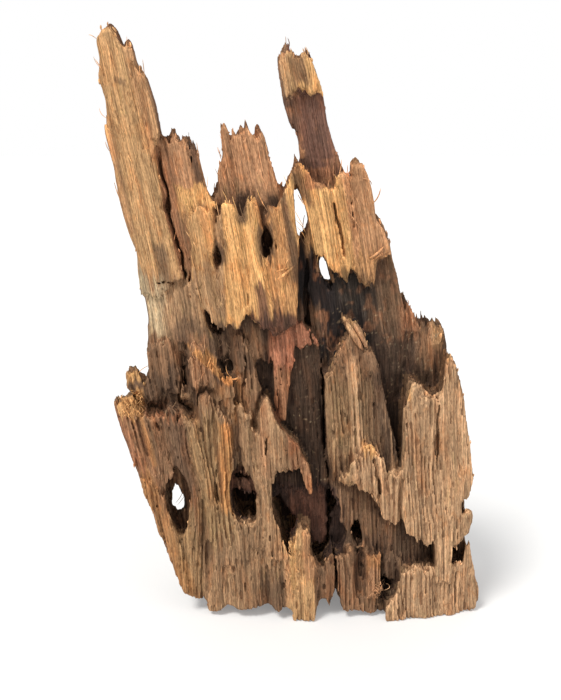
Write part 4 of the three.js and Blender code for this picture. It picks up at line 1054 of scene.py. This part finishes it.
def floor():
    """A pale floor that glows a little, so that it fades into the bright background."""
    data = bpy.data.meshes.new("floor")
    corners = [(x * FLOOR_SIZE, y * FLOOR_SIZE, 0) for x, y in ((-1, -1), (1, -1), (1, 1), (-1, 1))]
    data.from_pydata(corners, [], [(0, 1, 2, 3)])
    obj = bpy.data.objects.new("floor", data)
    bpy.context.scene.collection.objects.link(obj)
    material = bpy.data.materials.new("pale_floor")
    material.use_nodes = True
    shader = material.node_tree.nodes["Principled BSDF"]
    shader.inputs["Base Color"].default_value = (0.66, 0.66, 0.655, 1)
    shader.inputs["Roughness"].default_value = 0.8
    shader.inputs["Emission Color"].default_value = (1, 1, 1, 1)
    shader.inputs["Emission Strength"].default_value = 0.22
    data.materials.append(material)


def soft_sun(name, place, strength, spread, colour):
    """A broad even light that shines from place towards the wood."""
    data = bpy.data.lights.new(name, "SUN")
    data.energy = strength
    data.angle = math.radians(spread)
    data.color = colour
    obj = bpy.data.objects.new(name, data)
    obj.location = place
    obj.rotation_euler = Vector(place).to_track_quat("Z", "Y").to_euler()
    bpy.context.scene.collection.objects.link(obj)


def lights():
    """A white sky, dimmer as a light than it looks, a key light from the left and a weak fill."""
    world = bpy.data.worlds.new("studio")
    bpy.context.scene.world = world
    world.use_nodes = True
    nodes, links = world.node_tree.nodes, world.node_tree.links
    background = nodes["Background"]
    background.inputs["Color"].default_value = (1, 1, 1, 1)
    seen = nodes.new("ShaderNodeLightPath").outputs["Is Camera Ray"]
    strength = nodes.new("ShaderNodeMapRange")
    strength.inputs["To Min"].default_value = 0.62
    strength.inputs["To Max"].default_value = 1.0
    links.new(seen, strength.inputs["Value"])
    links.new(strength.outputs["Result"], background.inputs["Strength"])
    soft_sun("key", (-0.4, -0.45, 0.9), 2.6, 18, (1.0, 0.98, 0.95))
    soft_sun("fill", (0.7, -0.7, 0.45), 0.45, 60, (0.95, 0.97, 1.0))


def camera():
    """The viewer, about 18 cm above the surface and 31 cm in front of the base."""
    data = bpy.data.cameras.new("camera")
    data.sensor_width = 36.0
    data.lens = CAMERA_LENS
    data.clip_start = 0.01
    data.clip_end = 20
    obj = bpy.data.objects.new("camera", data)
    x, y, z = CAMERA_PLACE
    obj.location = ((x - BASE_MIDDLE[0]) / 1000, (y - BASE_MIDDLE[1]) / 1000, z / 1000)
    obj.rotation_euler = (math.radians(90 - CAMERA_TILT), 0, 0)
    bpy.context.scene.collection.objects.link(obj)
    bpy.context.scene.camera = obj


points, quads, front, axes = carve()
tone, u, hollow, step, groove = painted(points, front, axes)
wood = mesh_object("driftwood_surface", points, quads[:, ::-1])
grain = np.column_stack([u, points[:, 1], points[:, 2]])
add_attributes(wood, tone, grain, hollow=hollow, step=step, groove=groove)

tube_points, tube_faces = splinters(front, axes)
tube_points[:, 2] = np.maximum(tube_points[:, 2], 0.05)  # clear of the floor
tone, u, _, _, _ = painted(tube_points, front, axes)
loose = mesh_object("splinters", tube_points, tube_faces)
none = np.zeros(len(tube_points))
grain = np.column_stack([u, tube_points[:, 1], tube_points[:, 2]])
bright = 1.45 * tone  # splinters are fresher wood
bright *= np.minimum(1, 0.7 / bright.max(axis=1))[:, None]
add_attributes(loose, bright, grain, hollow=none, step=none, groove=none)

material = wood_material()
for piece in (wood, loose):
    piece.data.materials.append(material)
    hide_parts("driftwood")
    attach(piece, "root")

floor()
lights()
camera()
bpy.context.scene.view_settings.view_transform = "Standard"
